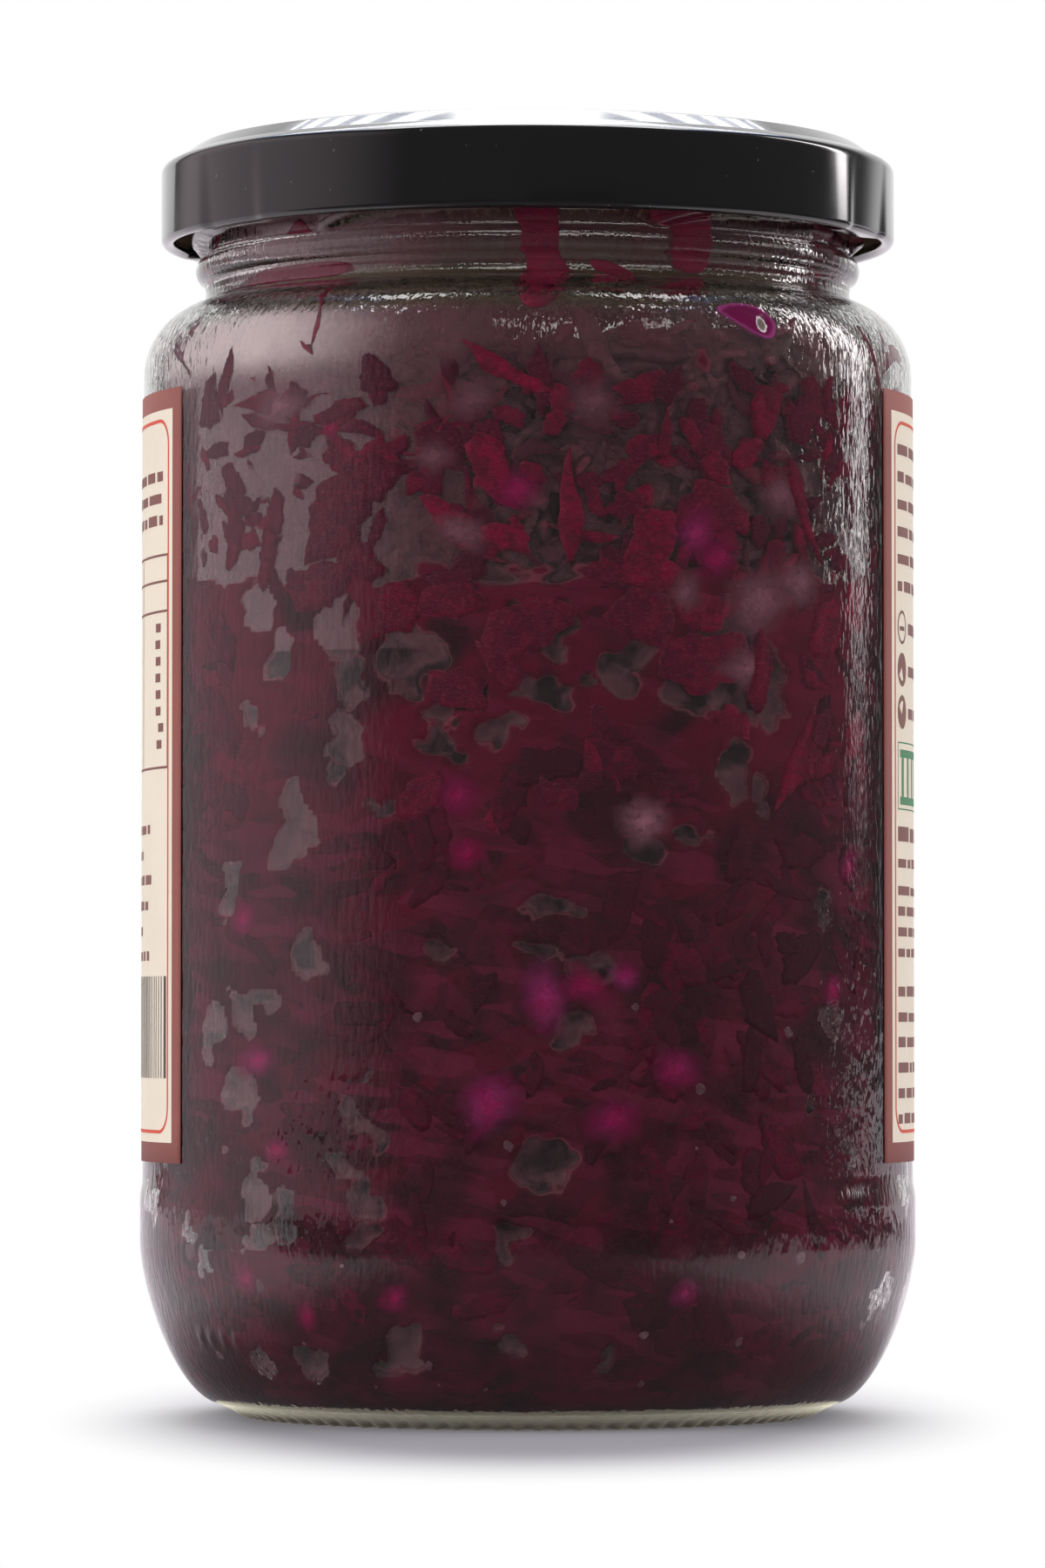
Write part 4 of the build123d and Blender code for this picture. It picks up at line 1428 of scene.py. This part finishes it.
mid = LID_SHEET / 2
panel_z = lid_top - PANEL_DROP - mid
sheet_line = filleted([
    (0, panel_z - STEP_DROP + BUTTON_RISE),
    (BUTTON_R, panel_z - STEP_DROP + BUTTON_RISE),
    (BUTTON_R + BUTTON_RISE, panel_z - STEP_DROP),
    (STEP_R, panel_z - STEP_DROP),
    (STEP_R + STEP_DROP, panel_z),
    (ring_inner - PANEL_SLOPE, panel_z),
    (ring_inner, lid_top - mid),
    (ring_outer, lid_top - mid),
    (lid_r - CORNER_IN, lid_top - RING_DROP - mid),
    (lid_r - mid, lid_top - CORNER_DROP),
    (lid_r - mid, lid_bottom + CURL_R),
], [0.3, 0.3, 0.3, 0.3, 0.8, 0.8, 0.8, 0.9, 1.2])
outside = offset_outline(sheet_line, -mid)
inside = offset_outline(sheet_line, mid)
outside = [(r, min(z, lid_top)) for r, z in outside]
curl = arc(lid_r - CURL_R, lid_bottom + CURL_R, CURL_R, 0, -285, 18)
inside_up = [p for p in inside if p[1] > lid_bottom + 2.4 or p[0] < lid_r - 2]
lid_outline = outside[:-1] + curl + [(lid_r - LID_SHEET, lid_bottom + 2.0)] + inside_up[::-1]
bm = turned(lid_outline, LID_STEPS)
lug_reach = lid_r - 2 * CURL_R - NECK_R - LUG_CLEAR
for vert in bm.verts:
    radius = math.hypot(vert.co.x, vert.co.y) / mm
    z = vert.co.z / mm
    if z > lid_bottom + LUG_TALL or radius < lid_r - 3:
        continue
    aside = min(abs(wrap(angle_of(vert.co) - LUG_PHASE - n * 60)) for n in range(6))
    window = min(1.0, max(0.0, (LUG_ARC / 2 + 1.5 - aside) / 3))
    window = window * window * (3 - 2 * window)
    inner_side = min(1.0, max(0.0, (lid_r - CURL_R - radius) / CURL_R + 0.15))
    low = min(1.0, max(0.0, (lid_bottom + LUG_TALL - z) / 1.2))
    curl_in = lug_reach * inner_side * (z < lid_bottom + CURL_TALL)
    inwards = window * (curl_in + LUG_DENT * low * (inner_side < 0.2))
    pulled = (radius - inwards) / radius
    vert.co.x *= pulled
    vert.co.y *= pulled
for face in bm.faces:
    middle = face.calc_center_median()
    outwards = Vector((middle.x, middle.y, 0)).normalized()
    under = face.normal.z < -0.3 and middle.z > (lid_bottom + 2.2) * mm
    in_skirt = face.normal.dot(outwards) < -0.3 and math.hypot(middle.x, middle.y) > ring_outer * mm
    high_enough = middle.z > (lid_bottom + PALE_FROM) * mm
    face.material_index = 1 if under or (in_skirt and high_enough) else 0


def lacquer_material(name, colour, rough, coat):
    """Baked lacquer on tinplate, with a faint ripple and rubbed patches."""
    material, tree = new_material(name)
    spot = spot_of(tree)
    rubbed = mottled(tree, spot, 90.0, 5.0, Roughness=0.6)
    dust = mottled(tree, spot, 1600.0, 1.0)
    ripple = mottled(tree, spot, 160.0, 1.0)
    specks = smooth_range(tree, dust, 0.77, 0.81)
    base = tinted(tree, specks, 0.35, colour, (0.25, 0.25, 0.26, 1))
    ends = {0: rubbed, 1: 0.35, 2: 0.70, 3: rough, 4: rough + 0.10}
    worn = add(tree, "ShaderNodeMapRange", ends).outputs[0]
    bump = bumped(tree, ripple, 0.06, 0.0003)
    skinned(tree, {
        "Base Color": base, "Roughness": worn, "IOR": 1.5, "Coat Weight": coat, "Coat Roughness": 0.04,
        "Normal": bump,
    })
    return material


black = lacquer_material("lid_black", paint(20, 19, 20), 0.10, 0.5)
lid = finish_piece(bm, "twist_lid", black, "lid_lacquer", "lid")
lid.data.materials.append(lacquer_material("lid_inside", paint(196, 186, 160), 0.35, 0.2))

seal_mid = (ring_outer + ring_inner) / 2
seal_low = rim_z + 0.02
seal_outline = [
    (ring_inner + 0.3, seal_low + COMPOUND), (ring_inner + 0.3, seal_low + 0.5), (seal_mid - 1.0, seal_low),
    (seal_mid + 1.0, seal_low), (ring_outer - 0.3, seal_low + 0.5), (ring_outer - 0.3, seal_low + COMPOUND),
    (ring_inner + 0.3, seal_low + COMPOUND),
]
bm = turned(seal_outline, 240)
material, tree = new_material("sealing_compound")
mottle = mottled(tree, spot_of(tree), 500.0)
colour = mixed(tree, mottle, paint(168, 160, 146), paint(188, 180, 166))
skinned(tree, {"Base Color": colour, "Roughness": 0.6})
finish_piece(bm, "sealing_ring", material, "lid_lacquer")


# === Paper label ==============================================================
# One sheet of uncoated cream paper, glued round the sunk panel and open at the
# front. Its print is fields of colour, rules and plain marks, without letters.
LABEL_THICK = 0.12
PRINT_LIFT = 0.02            # each colour lies this much over the one under it
LINE_WIDE = 0.28             # of the table's rules
WORD_GAP = 0.9
BORDER = 2.3                 # width of the brown edge
RULE_IN = 1.0                # cream between the brown edge and the red rule
RULE_WIDE = 0.4
RULE_CORNER = 3.0
INK_NAMES = {                # materials that go by another name than their piece
    "label_sheet": "label_brown", "label_red_rule": "label_red",
    "label_brown_print": "label_ink", "label_bars": "label_dark_ink",
}

label_low, label_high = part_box("label")
label_bottom = label_low.z / mm
label_top = label_high.z / mm
label_tall = label_top - label_bottom
label_r = max(abs(label_low.x), label_high.x) / mm
label_span = 360 - (LABEL_RIGHT - LABEL_LEFT)
label_wide = math.radians(label_span) * label_r


def on_label(bm, lift):
    """Rolls flat points, in millimetres from the label's lower left corner, onto the jar."""
    for vert in bm.verts:
        turn = math.radians(LABEL_RIGHT) + vert.co.x / label_r
        radius = label_r + lift + vert.co.z
        vert.co = Vector((radius * math.sin(turn), -radius * math.cos(turn), label_bottom + vert.co.y)) * mm


def flat_field(bm, left, low, wide, tall):
    """Adds one flat rectangle to the bmesh, cut finely enough to roll."""
    cuts = max(1, math.ceil(wide))
    made = bmesh.ops.create_grid(bm, x_segments=cuts, y_segments=1, size=0.5)["verts"]
    bmesh.ops.scale(bm, vec=(wide, tall, 1), verts=made)
    bmesh.ops.translate(bm, vec=(left + wide / 2, low + tall / 2, 0), verts=made)


def flat_disc(bm, x, y, radius, inner=0.0):
    """Adds one flat disc or ring."""
    made = bmesh.ops.create_circle(bm, segments=24, radius=radius, cap_ends=inner == 0.0)["verts"]
    if inner:
        rim_edges = list({e for v in made for e in v.link_edges})
        grown = bmesh.ops.extrude_edge_only(bm, edges=rim_edges)["geom"]
        hole = [part for part in grown if isinstance(part, bmesh.types.BMVert)]
        bmesh.ops.scale(bm, vec=(inner / radius,) * 2 + (1,), verts=hole)
        made = made + hole
    bmesh.ops.translate(bm, vec=(x, y, 0), verts=made)


def flat_oval(bm, x, y, half_wide, half_tall, turn=0.0):
    """Adds one flat oval, cut finely enough to roll."""
    cuts = max(6, math.ceil(2 * max(half_wide, half_tall)))
    made = bmesh.ops.create_grid(bm, x_segments=cuts, y_segments=cuts, size=1.0)["verts"]
    for vert in made:
        square = max(abs(vert.co.x), abs(vert.co.y))
        round_r = math.hypot(vert.co.x, vert.co.y)
        if round_r > 0:
            vert.co *= square / round_r
    bmesh.ops.scale(bm, vec=(half_wide, half_tall, 1), verts=made)
    leaning = Matrix.Rotation(math.radians(turn), 3, "Z")
    bmesh.ops.rotate(bm, cent=(0, 0, 0), matrix=leaning, verts=made)
    bmesh.ops.translate(bm, vec=(x, y, 0), verts=made)


def print_material(name, colour, fleck):
    """Ink on uncoated paper, a little uneven."""
    material, tree = new_material(INK_NAMES.get(name, name))
    spot = spot_of(tree)
    cloud = mottled(tree, spot, 120.0, 6.0)
    fibre = mottled(tree, spot, 2600.0, 2.0)
    base = tinted(tree, smooth_range(tree, cloud, 0.40, 0.66), 0.12, colour, fleck)
    base = tinted(tree, smooth_range(tree, fibre, 0.58, 0.75), 0.25, base, fleck)
    bump = bumped(tree, fibre, 0.15, 0.0001)
    skinned(tree, {
        "Base Color": base, "Roughness": 0.62, "Specular IOR Level": 0.3, "Normal": bump,
    })
    return material


def finish_print(bm, name, colour, fleck, *nodes):
    """Makes the bmesh a piece of paper or print in these colours."""
    material = print_material(name, paint(*colour), paint(*fleck))
    finish_piece(bm, name, material, "label_paper", *nodes)


bm = bmesh.new()
bmesh.ops.create_grid(bm, x_segments=200, y_segments=16, size=0.5)
bmesh.ops.scale(bm, vec=(label_wide, label_tall, 1), verts=bm.verts[:])
bmesh.ops.translate(bm, vec=(label_wide / 2, label_tall / 2, 0), verts=bm.verts[:])
bmesh.ops.solidify(bm, geom=bm.faces[:], thickness=LABEL_THICK)
highest = max(v.co.z for v in bm.verts)
on_label(bm, -highest)
bmesh.ops.recalc_face_normals(bm, faces=bm.faces[:])
finish_print(bm, "label_sheet", (146, 84, 76), (118, 70, 66), "label")

bm = bmesh.new()
for row in range(8):
    tall = (label_tall - 2 * BORDER) / 8
    flat_field(bm, BORDER, BORDER + row * tall, label_wide - 2 * BORDER, tall)
on_label(bm, PRINT_LIFT)
finish_print(bm, "label_cream", (234, 222, 202), (214, 198, 172))

# --- Red rule with rounded corners
bm = bmesh.new()
rule_in = BORDER + RULE_IN
across = label_wide - 2 * rule_in
upright = label_tall - 2 * rule_in
flat_field(bm, rule_in + RULE_CORNER, rule_in, across - 2 * RULE_CORNER, RULE_WIDE)
flat_field(bm, rule_in + RULE_CORNER, label_tall - rule_in - RULE_WIDE, across - 2 * RULE_CORNER, RULE_WIDE)
for left in (rule_in, label_wide - rule_in - RULE_WIDE):
    flat_field(bm, left, rule_in + RULE_CORNER, RULE_WIDE, upright - 2 * RULE_CORNER)
for side, start in ((1, 90), (0, 0)):
    for top in (0, 1):
        x = rule_in + RULE_CORNER if side else label_wide - rule_in - RULE_CORNER
        y = label_tall - rule_in - RULE_CORNER if top else rule_in + RULE_CORNER
        turn = start if top else (180 if side else 270)
        corner, inner = [
            [bm.verts.new((x + r, y + z, 0)) for r, z in arc(0, 0, radius, turn, turn + 90, 8)]
            for radius in (RULE_CORNER, RULE_CORNER - RULE_WIDE)
        ]
        for i in range(8):
            bm.faces.new((corner[i], corner[i + 1], inner[i + 1], inner[i]))
on_label(bm, 2 * PRINT_LIFT)
bmesh.ops.recalc_face_normals(bm, faces=bm.faces[:])
finish_print(bm, "label_red_rule", (214, 84, 62), (196, 92, 72))

# --- Brown print: lines of word-like bars, a ruled table, round marks
WORD_TALL = 1.25
random.seed(5)


def word_line(bm, left, base, length, tall=WORD_TALL):
    """One line of bars in the rhythm of words."""
    x = left
    while x < left + length - 1:
        wide = min(random.uniform(1.6, 6.0), left + length - x)
        flat_field(bm, x, base, wide, tall * random.uniform(0.85, 1.0))
        x += wide + WORD_GAP


bm = bmesh.new()
text_left = BORDER + 2.2
for row in range(6):
    word_line(bm, text_left, 80.8 - row * 3.12, random.uniform(36, 42))
for row in range(3):
    middle = (text_left + 1.9, 61.1 - row * 4.85)
    flat_disc(bm, *middle, 1.95, 1.6 if row == 0 else 0.0)
    word_line(bm, text_left + 5.2, middle[1] - 0.7, random.uniform(12, 20), 1.4)
flat_field(bm, text_left + 0.8, 60.7, 2.2, 0.5)
word_line(bm, text_left, 36.6, 30, 1.7)
for row in range(5):
    word_line(bm, text_left, 33.6 - row * 2.35 - (0.8 if row else 0), random.uniform(34, 42), 1.1)
for row in range(6):
    word_line(bm, text_left, 18.9 - row * 2.9, random.uniform(18, 34), 1.2)
right_in = label_wide - BORDER - 2.6
for row in range(3):
    word_line(bm, right_in - 40, 77.6 - row * 2.5, 39.6)
table_left = right_in - 40
table_right = right_in + 1.3
for low in (44.8, 62.6, 66.0, 69.0):
    flat_field(bm, table_left, low, table_right - table_left, LINE_WIDE)
for left in (table_left, table_right - LINE_WIDE, table_right - 12.0):
    flat_field(bm, left, 44.8, LINE_WIDE, 24.4)
for row in range(8):
    word_line(bm, table_left + 1.0, 60.4 - row * 1.9, random.uniform(12, 20), 1.0)
    flat_field(bm, right_in - random.uniform(2.0, 3.6), 60.4 - row * 1.9, 1.9, 1.0)
for row in range(6):
    word_line(bm, right_in - random.uniform(28, 38), 37.5 - row * 2.9, 27, 1.15)
on_label(bm, 2 * PRINT_LIFT)
finish_print(bm, "label_brown_print", (128, 84, 78), (150, 110, 98))

# --- Dark upright bars, and the green box with its rules
bm = bmesh.new()
x = right_in - 22.0
while x < right_in + 0.4:
    wide = random.choice((0.28, 0.28, 0.5, 0.8))
    flat_field(bm, x, 9.6, wide, 11.6)
    x += wide + random.choice((0.3, 0.5, 0.7))
on_label(bm, 2 * PRINT_LIFT)
finish_print(bm, "label_bars", (84, 74, 72), (100, 90, 86))

bm = bmesh.new()
box_low = 40.2
flat_field(bm, text_left + 0.9, box_low + 0.6, 13.0, 0.9)
flat_field(bm, text_left + 0.9, box_low + 6.0, 13.0, 0.9)
for left in (1.6, 4.4, 7.4, 10.2):
    flat_field(bm, text_left + left, box_low + 1.4, 1.0, 4.7)
for low in (0, 7.6):
    flat_field(bm, text_left, box_low + low, 14.6, 0.16)
for left in (0, 14.45):
    flat_field(bm, text_left + left, box_low, 0.16, 7.6)
on_label(bm, 2 * PRINT_LIFT)
finish_print(bm, "label_green", (74, 132, 92), (100, 150, 110))

# --- The panel at the back: a brown oval with a cream field and a plain cabbage in it
panel_x = label_wide / 2
panel_y = label_tall * 0.56
for name, lift, colour, fleck, ovals in (
    ("label_panel", 2, (138, 78, 72), (112, 66, 62), [(0, 0, 31, 24, 0)]),
    ("label_panel_cream", 3, (228, 214, 192), (206, 188, 160), [(0, 0, 29.4, 22.4, 0)]),
    ("label_cabbage_outer", 4, (104, 36, 76), (128, 60, 98),
     [(-7.5, -1, 8.5, 10.5, 24), (7.5, -1, 8.5, 10.5, -24), (0, -4.5, 11, 8, 0), (0, 2, 9.5, 11, 0)]),
    ("label_cabbage_inner", 5, (150, 84, 122), (128, 62, 100),
     [(-5.6, 0, 4.2, 8, 24), (5.6, 0, 4.2, 8, -24), (0, 0.5, 4.6, 8.5, 0)]),
    ("label_cabbage_heart", 6, (196, 152, 176), (170, 120, 150),
     [(-5.4, 0, 0.7, 6.6, 24), (5.4, 0, 0.7, 6.6, -24), (0, 0, 0.9, 7, 0)]),
):
    bm = bmesh.new()
    for x, y, half_wide, half_tall, turn in ovals:
        flat_oval(bm, panel_x + x, panel_y + y, half_wide, half_tall, turn)
    on_label(bm, lift * PRINT_LIFT)
    finish_print(bm, name, colour, fleck)
bm = bmesh.new()
word_line(bm, panel_x - 27, 14.0, 54, 4.2)
word_line(bm, panel_x - 20, 8.8, 40, 2.2)
on_label(bm, 2 * PRINT_LIFT)
finish_print(bm, "label_headline", (120, 66, 66), (142, 92, 88))
